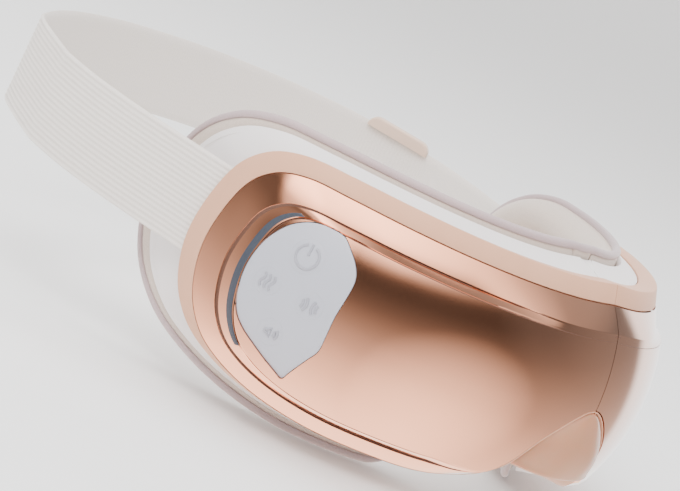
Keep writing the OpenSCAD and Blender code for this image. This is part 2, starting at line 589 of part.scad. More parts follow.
// Pieces inside the housings: each stands on the inner shell's back plate
function plate_d(u) = shell_depth([u, 0, 0], shell_d - shell_t) - fit;
battery_u = 60;
battery_size = [38, 8, 34];
main_board_size = [44, 1.2, 40];
module battery() color(steel) right() at_lobe(battery_u, 0, plate_d(battery_u) - battery_size[1])
    translate([-battery_size[0] / 2, 0, -battery_size[2] / 2]) cube(battery_size);
board_gap = 0.2;
chip_t = 1.2;
main_board_d = plate_d(battery_u) - battery_size[1] - main_board_size[1] - board_gap;
module main_board() color(green) right() at_lobe(battery_u, 0, main_board_d) {
    translate([-main_board_size[0] / 2, 0, -main_board_size[2] / 2]) cube(main_board_size);
    for (c = [[-14, 8, 8, 8], [2, 6, 7, 7], [-3, -9, 10, 6], [13, -12, 6, 5]])
        translate([c[0] - c[2] / 2, -chip_t, c[1] - c[3] / 2]) cube([c[2], chip_t, c[3]]);
}
speaker_u = 100;
speaker_r = 8;
module speaker() color(grey) right() at_lobe(speaker_u, -10, plate_d(speaker_u)) rotate([90, 0, 0]) {
    cylinder(r = speaker_r, h = 2.4);
    cylinder(r = speaker_r - 2.5, h = 4);
}

// Vibration motors: a can with an eccentric weight on its shaft
shake_u = 98;
shake_z = 9;
shake_r = 4;
shake_h = 10;
shaft_r = 0.6;
shaft_gap = 0.05;
weight_r = 3.4;
weight_h = 3.5;
module at_shake() at_lobe(shake_u, shake_z, plate_d(shake_u) - shake_r) children();
module vibration_motor() at_shake() difference() {
    cylinder(r = shake_r, h = shake_h);
    translate([0, 0, 2]) cylinder(r = shaft_r + shaft_gap, h = shake_h);
}
module vibration_weight() at_shake() {
    translate([0, 0, 2.3]) cylinder(r = shaft_r, h = shake_h + weight_h - 2.3);
    translate([0, 0, shake_h + 0.3]) intersection() {
        cylinder(r = weight_r, h = weight_h - 0.5);
        translate([-weight_r, -0.9, 0]) cube([2 * weight_r, 2 * weight_r, weight_h]);
    }
}

// USB socket in the lower wall of the right housing
usb_u = 70;
usb_d = 13;
usb_mouth = -half_h - 1.4;
usb_size = [9, 3.2, 7.4];
module slot_shape(w, t, h) linear_extrude(h) {
    square([w - t, t], center = true);
    for (x = [-1, 1]) translate([x * (w - t) / 2, 0]) circle(r = t / 2);
}
module usb_socket() color(steel) right() at_lobe(usb_u, usb_mouth, usb_d) {
    difference() {
        slot_shape(usb_size[0], usb_size[1], usb_size[2]);
        translate([0, 0, -1]) slot_shape(usb_size[0] - 0.7, usb_size[1] - 0.7, usb_size[2]);
    }
    translate([-3.2, -0.35, 1]) cube([6.4, 0.7, usb_size[2] - 1.5]);
}
module usb_hole() at_lobe(usb_u, usb_mouth - 5, usb_d)
    slot_shape(usb_size[0] + 2 * 0.2, usb_size[1] + 2 * 0.2, usb_size[2] + 5);

// Air pump of the left housing: motor, eccentric cam and pump head
pump_u = 64;
pump_r = 6;
pump_low = -16;
pump_h = [16, 6, 9];
cam_r = 3;
cam_off = 1;
nozzle_r = 1.5;
nozzle_h = 3;
head_low = pump_low + pump_h[0];
module at_pump(z) at_lobe(pump_u, z, plate_d(pump_u) - pump_r) children();
module pump_motor() color(steel) at_pump(pump_low) difference() {
    cylinder(r = pump_r, h = pump_h[0]);
    translate([0, 0, 3]) cylinder(r = shaft_r + shaft_gap, h = pump_h[0]);
}
module pump_cam() color(peach) at_pump(head_low) {
    translate([0, 0, -12]) cylinder(r = shaft_r, h = 12 + pump_h[1] - 1);
    translate([cam_off, 0, 0.5]) cylinder(r = cam_r, h = pump_h[1] - 2.5);
}
module pump_head() color(white) at_pump(head_low) {
    difference() {
        cylinder(r = pump_r, h = pump_h[1] + pump_h[2]);
        translate([0, 0, -1]) cylinder(r = cam_r + cam_off + 0.7, h = pump_h[1] + 1);
    }
    translate([0, 0, pump_h[1] + pump_h[2]]) cylinder(r = nozzle_r, h = nozzle_h);
}

// Air valve: a coil body with a plunger that travels
valve_u = 100;
valve_z = -14;
valve_r = 4.4;
valve_h = 12;
plunger_r = 1.5;
plunger_travel = 1;
module at_valve() at_lobe(valve_u, valve_z, plate_d(valve_u) - valve_r) children();
module valve_body() color(steel) at_valve() difference() {
    cylinder(r = valve_r, h = valve_h);
    translate([0, 0, 1]) cylinder(r = plunger_r + shaft_gap, h = valve_h);
}
module valve_plunger() color(grey) at_valve() translate([0, 0, 1 + plunger_travel + 0.1]) {
    cylinder(r = plunger_r, h = valve_h + 0.6);
    translate([0, 0, valve_h - plunger_travel + 0.7]) cylinder(r = 2.3, h = 1);
}

// Tubes along a route
function side_of(a, b) = let(t = (b - a) / norm(b - a), s = cross(t, [0.02, 0.05, 1])) s / norm(s);
function tube_ring(r, p, a, b, n) = let(s = side_of(a, b), t = (b - a) / norm(b - a), q = cross(s, t))
    [for (k = [0:n - 1]) p + r * (cos(360 * k / n) * s + sin(360 * k / n) * q)];
function flat_point(p) = let(a = p[0] / wrap_r * 180 / PI, s = wrap_r - p[2])
    [s * sin(a), wrap_r - s * cos(a) - fold_y, p[1]];
module tube(route, r, n) let(q = [for (p = route) flat_point(p)], m = len(q) - 1)
    swept([for (i = [0:m]) tube_ring(r, q[i], q[max(i - 1, 0)], q[min(i + 1, m)], n)]);
hose_r = 1.25;
hose_gap = 0.2;
cable_r = 0.9;
bag_hole = [44, 25];
hose_end = shell_d - shell_t + 1;
pump_top = head_low + pump_h[1] + pump_h[2] + nozzle_h + fit;
pump_mid = plate_d(pump_u) - pump_r;
left_hose = [
    [pump_u, pump_top, pump_mid], [pump_u, pump_top + 2, pump_mid], [pump_u - 5, 25.5, 9],
    [pump_u - 10, 26, 9], [bag_hole[0] + 6, 25.8, 10], [bag_hole[0] + 1.4, 25.2, 11.6],
    [bag_hole[0], bag_hole[1], 13.6], [bag_hole[0], bag_hole[1], hose_end]
];
right_hose = [
    [-bag_hole[0], bag_hole[1], hose_end], [-bag_hole[0], bag_hole[1], 13.6],
    [-bag_hole[0] + 2, 26, 11.6], [-36, 27.6, 12], [-24, 28.8, 12.8], [-17, 32, 13.6], [-10, 34.4, 13.8], [-4, 35, 14],
    [4, 35, 14], [10, 34.4, 13.8], [17, 32, 13.6], [24, 28.8, 12.6], [34, 27.6, 10], [bag_hole[0] - 6, 25.6, 6.5],
    [bag_hole[0], 23, 5.5]
];
hinge_run = [
    [-battery_u + 16, 20.8, 6.6], [-battery_u + 20, 24, 6.6], [-34, 26.6, 7], [-24, 27.6, 9], [-16, 31.6, 11],
    [-9, 33.4, 11], [-3, 34, 10.8], [3, 34, 10.8], [9, 33.4, 11], [16, 31.6, 11], [24, 26, 8.6], [30, 16, 4],
    [37, 4, 3.4],
    [46, -10, 5], [pump_u - 9, -18, 8], [pump_u - 2, -18.6, pump_mid]
];

// Nose piece: a thin saddle across the nose notch
nose_first = last - 6;
nose_wall = 1.4;
nose_edge = layer(0, 0, 0, 1.4);
nose_curl = [[3, 9, 0.3], [7, 16, 0.4]];
nose_sides = 6;
function nose_mid(z) = -26.6 + 0.034 * pow(z + 7, 2);
function nose_row(e, mid_y, mid_z, back) = [for (k = [0:nose_sides]) let(t = 2 * k / nose_sides - 1, s = t * t)
    [e[0] * t, mix(mid_y, e[1], s) + back[0], mix(mid_z, e[2], s) + back[1]]];
function nose_section(e, mid_y, mid_z, back, drop) = let(rear_row = nose_row(e, mid_y, mid_z, [back, 0]))
    concat(nose_row(e, mid_y, mid_z, [0, -drop]), [for (k = [nose_sides:-1:0]) rear_row[k]]);
module nose_piece() color(skin_tone) swept(concat(
    [for (i = [last - 1:-1:nose_first]) let(p = nose_edge[i], e = wrapped(p[0], p[1], 0.6 - edge_height(outline[i])))
        nose_section(e, nose_mid(p[1]), p[1] + 1, nose_wall, i == nose_first ? nose_wall : 0)],
    [for (c = nose_curl) let(p = nose_edge[nose_first], e = wrapped(p[0], p[1], c[0]))
        nose_section(e, nose_mid(p[1]) + c[1], p[1] + 1 + c[2], 0, nose_wall)]), true);

// Soft bridge that fills the gap between the two pads at the fold
bridge_rows = [[0, 0.55], [0.08, 0.85], [0.25, 1], [0.55, 1], [0.8, 0.95], [0.95, 0.8], [1, 0.5]];
bridge_low = nose_h - half_h + 0.2;
bridge_high = half_h + pad_top - 0.8;
bridge_front = pad_d + 0.8;
bridge_back = pad_d + pad_t - 1.2;
bridge_gap = 0.7;
function bridge_half(d) = flank(d - pow(flank(d), 2) / (2 * (wrap_r - d))) - bridge_gap;
module bridge_pad() color(cream) swept([for (r = bridge_rows) let(b = mix(bridge_front, bridge_back, r[1]),
    z = mix(bridge_low, bridge_high, r[0]), y0 = bridge_front - fold_y, y1 = b - fold_y,
    w0 = bridge_half(bridge_front), w1 = bridge_half(b))
    [[-w0, y0, z], [-w1, y1 - 0.8, z], [-w1 * 0.5, y1 + 0.2, z], [w1 * 0.5, y1 + 0.2, z],
     [w1, y1 - 0.8, z], [w0, y0, z]]]);

module cover_opening() panel_prism(key_gap, 14);
module inner_shell() difference() {
    union() {
        shell_tray();
        for (i = post_at) let(d = post_place(i)[2]) at_post(i)
            translate([0, 0, ring_d + fit]) cylinder(r = post_r, h = d - 1 - ring_d - fit);
    }
    post_bores();
    for (z = screw_z) translate([screw_x, 0, z]) rotate([-90, 0, 0]) cylinder(r = screw_r + screw_gap, h = screw_bore);
    at_lobe(bag_hole[0], bag_hole[1], shell_d - 2 * shell_t) rotate([-90, 0, 0])
        cylinder(r = hose_r + hose_gap, h = 3 * shell_t);
}
module mid_frame() difference() {
    frame_ring();
    post_bores();
    strap_slot();
}

module front_cover_right() color(gold) difference() {
    right() front_cover();
    panel_frame() cover_opening();
}
module front_cover_left() color(gold) left() front_cover();
module mid_frame_right() color(peach) right() mid_frame();
module mid_frame_left() color(peach) left() mid_frame();
module inner_shell_right() color(white) right() difference() {
    inner_shell();
    usb_hole();
}
module inner_shell_left() color(white) left() inner_shell();
module face_pad_right() color(cream) right() face_pad();
module face_pad_left() color(cream) left() face_pad();
module piping_right() color(mauve) right() piping();
module piping_left() color(mauve) left() piping();
module pad_lining_right() color(cream) right() pad_lining();
module pad_lining_left() color(cream) left() pad_lining();
module airbag_right() color(grey) right() airbag();
module airbag_left() color(grey) left() airbag();
module heating_film_right() color(gold) right() heating_film();
module heating_film_left() color(gold) left() heating_film();
module strap_bar_right() color(steel) right() strap_bar();
module strap_bar_left() color(steel) left() strap_bar();
module hinge_screws_right() color(steel) right() hinge_screws();
module hinge_screws_left() color(steel) left() hinge_screws();
module shell_screws_right() color(steel) right() shell_screws();
module shell_screws_left() color(steel) left() shell_screws();
module vibration_motor_right() color(steel) right() vibration_motor();
module vibration_motor_left() color(steel) left() vibration_motor();
module vibration_weight_right() color(gold) right() vibration_weight();
module vibration_weight_left() color(gold) left() vibration_weight();
module hinge_leaf_right() color(white) right() hinge_leaf(0);
module hinge_leaf_left() color(white) left() hinge_leaf(1);
module power_key() color(panel_grey) key(power_at, power_r);
module heat_key() color(panel_grey) key(heat_at, key_r);
module massage_key() color(panel_grey) key(massage_at, key_r);
module sound_key() color(panel_grey) key(sound_at, key_r);
module air_hose_left() color(grey) tube(left_hose, hose_r, 6);
module air_hose_right() color(grey) tube(right_hose, hose_r, 6);
module hinge_cable() color(grey) tube(hinge_run, cable_r, 6);

front_cover_right();
front_cover_left();
mid_frame_right();
mid_frame_left();
inner_shell_right();
inner_shell_left();
face_pad_right();
face_pad_left();
piping_right();
piping_left();
pad_lining_right();
pad_lining_left();
airbag_right();
airbag_left();
heating_film_right();
heating_film_left();
bridge_pad();
nose_piece();
hinge_leaf_right();
hinge_leaf_left();
hinge_pin();
control_panel();
power_key();
heat_key();
massage_key();
sound_key();
key_board();
key_switches();
light_guide();
main_board();
battery();
usb_socket();
speaker();
vibration_motor_right();
vibration_motor_left();
vibration_weight_right();
vibration_weight_left();
pump_motor();
pump_head();
pump_cam();
valve_body();
valve_plunger();
air_hose_left();
air_hose_right();
hinge_cable();
strap_bar_right();
strap_bar_left();
strap();
strap_slider();
hinge_screws_right();
hinge_screws_left();
shell_screws_right();
shell_screws_left();
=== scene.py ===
import math
import bpy
from mathutils import Matrix, Vector


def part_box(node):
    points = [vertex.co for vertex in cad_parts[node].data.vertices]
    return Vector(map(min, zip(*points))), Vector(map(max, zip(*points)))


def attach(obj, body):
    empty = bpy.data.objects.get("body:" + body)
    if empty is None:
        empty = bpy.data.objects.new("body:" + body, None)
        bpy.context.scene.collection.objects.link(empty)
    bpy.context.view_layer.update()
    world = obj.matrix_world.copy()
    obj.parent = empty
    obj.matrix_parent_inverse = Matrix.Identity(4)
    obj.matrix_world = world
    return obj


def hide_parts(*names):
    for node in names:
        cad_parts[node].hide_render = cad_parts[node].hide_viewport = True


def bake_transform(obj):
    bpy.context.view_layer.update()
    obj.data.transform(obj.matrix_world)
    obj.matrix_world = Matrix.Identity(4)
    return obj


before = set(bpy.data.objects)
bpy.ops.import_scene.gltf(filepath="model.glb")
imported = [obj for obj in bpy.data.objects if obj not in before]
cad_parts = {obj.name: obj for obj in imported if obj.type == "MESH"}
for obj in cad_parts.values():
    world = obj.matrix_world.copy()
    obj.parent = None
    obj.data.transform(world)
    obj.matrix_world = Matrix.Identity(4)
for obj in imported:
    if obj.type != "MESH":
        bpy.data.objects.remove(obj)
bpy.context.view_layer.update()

bpy.ops.object.select_all(action="DESELECT")
mm = 0.001

# The photograph's camera: its place, its direction and its roll, in metres and degrees
camera = {"place": (-0.6892, -0.3736, 0.1357), "azimuth": -56, "elevation": 9, "roll": 26, "lens": 132.1}


def turned(azimuth, elevation, roll=0):
    # Axes of a camera or light that looks at the middle from that side
    a, e, r = (math.radians(v) for v in (azimuth, elevation, roll))
    back = Vector((math.sin(a) * math.cos(e), -math.cos(a) * math.cos(e), math.sin(e)))
    right = Vector((math.cos(a), math.sin(a), 0))
    up = back.cross(right)
    across = math.cos(r) * right + math.sin(r) * up
    return Matrix((across, back.cross(across), back)).transposed()


bpy.ops.object.camera_add(location=camera["place"],
                          rotation=turned(camera["azimuth"], camera["elevation"], camera["roll"]).to_euler())
photoCamera = bpy.context.object
photoCamera.name = "photoCamera"
photoCamera.data.lens = camera["lens"]
photoCamera.data.sensor_width = 36
photoCamera.data.clip_start = 0.02
photoCamera.data.clip_end = 60
bpy.context.scene.camera = photoCamera
print("camera placed")

# Small tools for meshes


def mix(a, b, t):
    return a + (b - a) * t


def smooth(t):
    t = max(0, min(1, t))
    return t * t * (3 - 2 * t)


def catmull(a, b, c, d, t):
    return b + t * ((c - a) / 2 + t
                    * (a - 2.5 * b + 2 * c - d / 2 + t * (-a / 2 + 1.5 * b - 1.5 * c + d / 2)))


def through(points, steps, closed=False):
    # A smooth line through points, with that many steps from one to the next
    n = len(points)
    line = []
    for i in range(n if closed else n - 1):
        if closed:
            a, b, c, d = (points[(i + k) % n] for k in (-1, 0, 1, 2))
        else:
            a, b, c = points[max(i - 1, 0)], points[i], points[i + 1]
            d = points[min(i + 2, n - 1)]
        line += [catmull(a, b, c, d, k / steps) for k in range(steps)]
    return line if closed else line + [points[-1]]


def only(piece):
    bpy.ops.object.select_all(action="DESELECT")
    piece.select_set(True)
    bpy.context.view_layer.objects.active = piece


def setMode(mode):
    bpy.ops.object.mode_set(mode=mode)


def editMesh(piece, *operators):
    # Runs edit-mode operators on the whole piece
    only(piece)
    setMode("EDIT")
    bpy.ops.mesh.select_all(action="SELECT")
    for operator, settings in operators:
        operator(**settings)
    setMode("OBJECT")


def flip(piece):
    editMesh(piece, (bpy.ops.mesh.flip_normals, {}))


def joinTo(piece, parts):
    only(piece)
    for part in parts:
        part.select_set(True)
    bpy.ops.object.join()


def modify(piece, kind, **settings):
    only(piece)
    modifier = piece.modifiers.new(kind.lower(), kind)
    for name, value in settings.items():
        setattr(modifier, name, value)
    bpy.ops.object.modifier_apply(modifier=modifier.name)


def bevelEdges(piece, width, segments, sharper):
    # Rounds the edges that turn by more than that angle, in mm and degrees
    modify(piece, "BEVEL", width=width * mm, segments=segments, limit_method="ANGLE",
           angle_limit=math.radians(sharper))


def laidGrid(name, rows, loop=False, caps=False, side=1):
    # A grid primitive whose rows of points are laid out in place, in mm. A loop's rows close on themselves.
    if loop:
        rows = [[*row, row[0]] for row in rows]
    across = len(rows[0])
    bpy.ops.mesh.primitive_grid_add(x_subdivisions=across - 1, y_subdivisions=len(rows) - 1, size=1)
    piece = bpy.context.object
    piece.name = name
    piece.data.name = name
    for n, vertex in enumerate(piece.data.vertices):
        x, y, z = rows[n // across][n % across]
        vertex.co = (side * x * mm, y * mm, z * mm)
    editMesh(piece, (bpy.ops.mesh.remove_doubles, {"threshold": 2e-6}))
    if caps:
        editMesh(piece, (bpy.ops.mesh.fill_holes, {"sides": 0}))
    if loop:
        editMesh(piece, (bpy.ops.mesh.normals_make_consistent, {"inside": False}))
    return piece


def rounded(points, radius, steps=2):
    # A closed section with each corner cut back into a small curve
    out = []
    n = len(points)
    for i in range(n):
        a, b, c = points[i - 1], points[i], points[(i + 1) % n]
        ra = min(radius / max((a - b).length, 1e-9), 0.42)
        rc = min(radius / max((c - b).length, 1e-9), 0.42)
        p, q = mix(b, a, ra), mix(b, c, rc)
        for k in range(steps + 1):
            t = k / steps
            out.append(mix(mix(p, b, t), mix(b, q, t), t))
    return out


def tubeRows(route, radius, sides, taper=None):
    # Sections of a tube along a route of points in mm
    rows = []
    for i, p in enumerate(route):
        ahead = (route[min(i + 1, len(route) - 1)] - route[max(i - 1, 0)]).normalized()
        across = ahead.cross(Vector((0.02, 0.05, 1))).normalized()
        up = across.cross(ahead)
        r = radius * (taper(i / (len(route) - 1)) if taper else 1)
        rows.append([p + r * (math.cos(a) * across + math.sin(a) * up)
                     for a in (2 * math.pi * k / sides for k in range(sides))])
    return rows


def halfOf(side):
    return "left_half" if side > 0 else "right_half"


def dress(piece, material, body=None, nodes=(), angle=35, between=None):
    # The last steps of a piece: its shading, material, body and what it stands for
    only(piece)
    bpy.ops.object.shade_smooth_by_angle(angle=math.radians(angle))
    for coating in material if isinstance(material, tuple) else (material,):
        piece.data.materials.append(coating)
    if between:
        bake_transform(piece)
    else:
        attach(piece, body)
    if nodes:
        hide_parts(*nodes)
    return piece


# The mask's own geometry, in mm. The outline and the wrap are the CAD source's; the groove is shallower

mask = {"wrapR": 106, "lobeLength": 139, "halfHeight": 34, "bulge": 10.8, "faceR": 70, "wall": 1.8,
        "noseHalf": 38, "noseHeight": 36.7, "endDrop": 5.8, "endStart": 80, "endRun": 42,
        "foldY": 12, "seamGap": 0.3, "flankAngle": 37.5, "padEnd": 36.5}
band = {"top": 7, "end": 9, "low": 4.4, "rise": 3, "depth": 0.45, "crease": 0.4, "grooveEnd": 7.5,
        "grooveSide": 2.6}
lobePoints = [(0, 1), (0.065, 0.99), (0.13, 0.98), (0.2, 0.975), (0.27, 0.972), (0.36, 0.973), (0.48, 0.98),
              (0.62, 0.995), (0.75, 1.01), (0.85, 1.005), (0.925, 0.9), (0.975, 0.64), (1, 0.13),
              (0.98, -0.3),
              (0.93, -0.6), (0.86, -0.78), (0.76, -0.91), (0.63, -0.985), (0.49, -1)]
notchPoints = [(1.3, 0.01, 0), (1, 0.07, 0.3), (0.78, 0.18, 0.75), (0.62, 0.37, 1), (0.41, 0.72, 1),
               (0, 1, 1)]
outlineSteps = 6


def makeOutline():
    # Points of one cover's edge: place along the wrap, height, and share of the nose notch
    half = mask["halfHeight"]
    control = [Vector((u * mask["lobeLength"], z * half, 0)) for u, z in lobePoints]
    control += [Vector((u * mask["noseHalf"], z * mask["noseHeight"] - half, s)) for u, z, s in notchPoints]
    first, final = control[1].copy(), control[-2].copy()
    first.x, final.x = -first.x, -final.x
    padded = [first, *control, final]
    line = []
    for i in range(1, len(padded) - 2):
        line += [catmull(*padded[i - 1:i + 3], k / outlineSteps) for k in range(outlineSteps)]
    for p in line:
        p.z = max(0, min(1, p.z))
    return line + [control[-1]]


outline = makeOutline()
last = len(outline) - 1
middle = last // 2


def outwardAt(i):
    if i == 0:
        return Vector((0, 1))
    if i == last:
        return Vector((0, -1))
    t = (outline[i + 1] - outline[i - 1]).xy.normalized()
    return Vector((-t.y, t.x))


def layer(end, top, low, notch, lean=0):
    # An outline outside the covers' edge by one amount at the temple, top, bottom and notch
    half, out = mask["halfHeight"], []
    for i, p in enumerate(outline):
        s, share, normal = 1 - p.z, p.x / mask["lobeLength"], outwardAt(i)
        share = max(share, 0)
        fade = 1 - 0.3 * share ** 4 if p.y > 0 and top > 0 else 1
        du = end * share ** (4 - lean if p.y > 0 else 4 + lean)
        dz = fade * (top if p.y > 0 else low) * p.y / half
        out.append(Vector((p.x + du * s + normal.x * notch * p.z, p.y + dz * s + normal.y * notch * p.z,
                           p.z)))
    return out


def spine(o, inset):
    out = []
    for i in range(last + 1):
        m = (o[i] + o[last - i]) / 2
        m.x -= inset * (m.x / mask["lobeLength"]) ** 3
        out.append(m)
    return out


def betweenLines(a, b, t):
    return [mix(p, q, t) for p, q in zip(a, b)]


def faceHeight(u, z):
    over = max(0, u - mask["endStart"]) / mask["endRun"]
    return mask["bulge"] - z * z / (2 * mask["faceR"]) - mask["endDrop"] * over * over


def edgeHeight(p):
    return p.z * faceHeight(p.x, p.y)


def grooveShare(p):
    return smooth((p.x - 22) / 40) * (1 - p.z)


def flank(d):
    return mask["seamGap"] / 2 + max(0, d - mask["foldY"]) * math.tan(math.radians(mask["flankAngle"]))


def wrapped(u, z, d):
    # The point at place u and height z, d behind the wrap, on the left half
    r = mask["wrapR"]
    start = math.asin(flank(d) / (r - d)) * r
    a = (start + u * (1 - start / (mask["lobeLength"] + mask["padEnd"]))) / r
    return Vector(((r - d) * math.sin(a), r - (r - d) * math.cos(a) - mask["foldY"], z))


def ring(o, depth):
    return [wrapped(p.x, p.y, depth(p) if callable(depth) else depth) for p in o]


def ringOf(o, depths):
    return [wrapped(p.x, p.y, d) for p, d in zip(o, depths)]


# Materials


def group(name, inputs, outputs, build):
    # An effect that several materials use, with named sockets
    tree = bpy.data.node_groups.new(name, "ShaderNodeTree")
    for socket, kind, value in inputs:
        made = tree.interface.new_socket(socket, in_out="INPUT", socket_type=kind)
        if value is not None:
            made.default_value = value
    for socket, kind in outputs:
        tree.interface.new_socket(socket, in_out="OUTPUT", socket_type=kind)
    build(tree, tree.nodes.new("NodeGroupInput"), tree.nodes.new("NodeGroupOutput"))
    return tree


def shaderNode(tree, kind, values=None, **settings):
    made = tree.nodes.new("ShaderNode" + kind)
    for name, value in settings.items():
        setattr(made, name, value)
    for socket, value in (values or {}).items():
        made.inputs[socket].default_value = value
    return made


def math2(tree, operation, a, b):
    made = tree.nodes.new("ShaderNodeMath")
    made.operation = operation
    for socket, value in zip(made.inputs, (a, b)):
        if isinstance(value, (int, float)):
            socket.default_value = value
        else:
            tree.links.new(value, socket)
    return made.outputs[0]


def shadeEffect(tree, given, out, toneBy, roughBy, height, ends=("Smooth", "Rough")):
    # An effect's results: its tone between the two tones, its roughness between the ends, and its height
    tone = shaderNode(tree, "Mix", data_type="RGBA")
    rough = shaderNode(tree, "MapRange")
    for source, target in ((toneBy, tone.inputs["Factor"]),
                           (given.outputs["Tone A"], tone.inputs["A"]),
                           (given.outputs["Tone B"], tone.inputs["B"]),
                           (roughBy, rough.inputs["Value"]),
                           (given.outputs[ends[0]], rough.inputs["To Min"]),
                           (given.outputs[ends[1]], rough.inputs["To Max"]),
                           (tone.outputs["Result"], out.inputs["Color"]),
                           (rough.outputs["Result"], out.inputs["Roughness"]),
                           (height, out.inputs["Height"])):
        tree.links.new(source, target)


def buildGrain(tree, given, out):
    # Fine even grain: two noises give height, a slow one gives tone and roughness
    fine = shaderNode(tree, "TexNoise", {"Detail": 4, "Roughness": 0.6})
    slow = shaderNode(tree, "TexNoise", {"Scale": 55, "Detail": 2})
    tree.links.new(given.outputs["Vector"], fine.inputs["Vector"])
    tree.links.new(given.outputs["Scale"], fine.inputs["Scale"])
    tree.links.new(given.outputs["Vector"], slow.inputs["Vector"])
    uneven = math2(tree, "MULTIPLY", fine.outputs["Fac"], slow.outputs["Fac"])
    shadeEffect(tree, given, out, slow.outputs["Fac"], uneven, fine.outputs["Fac"])


def buildLeather(tree, given, out):
    # Leather grain: cells with soft creases between them, over a slow unevenness
    cells = shaderNode(tree, "TexVoronoi", feature="DISTANCE_TO_EDGE")
    warp = shaderNode(tree, "TexNoise", {"Scale": 260, "Detail": 3})
    slow = shaderNode(tree, "TexNoise", {"Scale": 40, "Detail": 3})
    bent = shaderNode(tree, "VectorMath", operation="MULTIPLY_ADD")
    bent.inputs[1].default_value = (0.0012, 0.0012, 0.0012)
    tree.links.new(given.outputs["Vector"], warp.inputs["Vector"])
    tree.links.new(given.outputs["Vector"], slow.inputs["Vector"])
    tree.links.new(warp.outputs["Color"], bent.inputs[0])
    tree.links.new(given.outputs["Vector"], bent.inputs[2])
    tree.links.new(bent.outputs["Vector"], cells.inputs["Vector"])
    tree.links.new(given.outputs["Scale"], cells.inputs["Scale"])
    crease = shaderNode(tree, "MapRange", {"From Max": 0.16})
    tree.links.new(cells.outputs["Distance"], crease.inputs["Value"])
    creased = math2(tree, "MULTIPLY", crease.outputs["Result"], slow.outputs["Fac"])
    height = math2(tree, "MULTIPLY_ADD", crease.outputs["Result"], 0.7)
    shadeEffect(tree, given, out, creased, crease.outputs["Result"], height, ("Rough", "Smooth"))


# The ribs' value darkens the valleys between them with painted shade; the threads' value is their own tone
weave = {"threads": 24, "outerShare": 0.84, "paintedRibShade": 0.28, "threadTone": 0.06, "fuzz": 260}


def buildWeave(tree, given, out):
    # Woven elastic: painted shade as dark lines between the ribs, which are in the mesh, and fine threads
    # across them
    split = shaderNode(tree, "SeparateXYZ")
    tree.links.new(given.outputs["Vector"], split.inputs["Vector"])
    ribs = math2(tree, "COSINE", math2(tree, "MULTIPLY", split.outputs["X"], given.outputs["Scale"]), 0)
    # The face against the head, past this share of the girth, has no ribs
    outer = math2(tree, "LESS_THAN", split.outputs["X"], weave["outerShare"])
    ribs = math2(tree, "MULTIPLY", ribs, outer)
    density = math2(tree, "MULTIPLY", given.outputs["Scale"], weave["threads"])
    threads = math2(tree, "SINE", math2(tree, "MULTIPLY", split.outputs["Y"], density), 0)
    fuzz = shaderNode(tree, "TexNoise", {"Scale": weave["fuzz"], "Detail": 4})
    # The ribbon is several times as long as its girth, so its length is scaled to match
    even = shaderNode(tree, "VectorMath", operation="MULTIPLY")
    even.inputs[1].default_value = (1, 6, 1)
    tree.links.new(given.outputs["Vector"], even.inputs[0])
    tree.links.new(even.outputs["Vector"], fuzz.inputs["Vector"])
    # Painted shade: darker down in the valleys between the ribs
    paintedRibShade = math2(tree, "MULTIPLY", math2(tree, "SUBTRACT", 0, ribs), weave["paintedRibShade"])
    threadTone = math2(tree, "MULTIPLY", threads, weave["threadTone"])
    mixed = math2(tree, "ADD", paintedRibShade, math2(tree, "ADD", threadTone, fuzz.outputs["Fac"]))
    shadeEffect(tree, given, out, mixed, fuzz.outputs["Fac"], mixed)


effectIn = [("Vector", "NodeSocketVector", None), ("Scale", "NodeSocketFloat", 800),
            ("Smooth", "NodeSocketFloat", 0.3),
            ("Rough", "NodeSocketFloat", 0.4), ("Tone A", "NodeSocketColor", None),
            ("Tone B", "NodeSocketColor", None)]
effectOut = [("Color", "NodeSocketColor"), ("Roughness", "NodeSocketFloat"), ("Height", "NodeSocketFloat")]
effects = {"grain": group("surfaceGrain", effectIn, effectOut, buildGrain),
           "leather": group("leatherGrain", effectIn, effectOut, buildLeather),
           "weave": group("wovenElastic", effectIn, effectOut, buildWeave)}


def finish(name, effect, toneA, toneB, rough, scale, bump, read="Object", **shader):
    # A material: one effect group with its own values, and the shader's plain sockets
    material = bpy.data.materials.new(name)
    material.use_nodes = True
    tree = material.node_tree
    principled = tree.nodes["Principled BSDF"]
    place = shaderNode(tree, "TexCoord")
    detail = shaderNode(tree, "Group", node_tree=effects[effect])
    detail.inputs["Scale"].default_value = scale
    detail.inputs["Smooth"].default_value, detail.inputs["Rough"].default_value = rough
    detail.inputs["Tone A"].default_value = (*toneA, 1)
    detail.inputs["Tone B"].default_value = (*toneB, 1)
    relief = shaderNode(tree, "Bump", {"Strength": 1, "Distance": bump * mm})
    tree.links.new(place.outputs[read], detail.inputs["Vector"])
    tree.links.new(detail.outputs["Height"], relief.inputs["Height"])
    tree.links.new(detail.outputs["Color"], principled.inputs["Base Color"])
    tree.links.new(detail.outputs["Roughness"], principled.inputs["Roughness"])
    tree.links.new(relief.outputs["Normal"], principled.inputs["Normal"])
    for socket, value in shader.items():
        principled.inputs[socket.replace("_", " ")].default_value = value
    return material


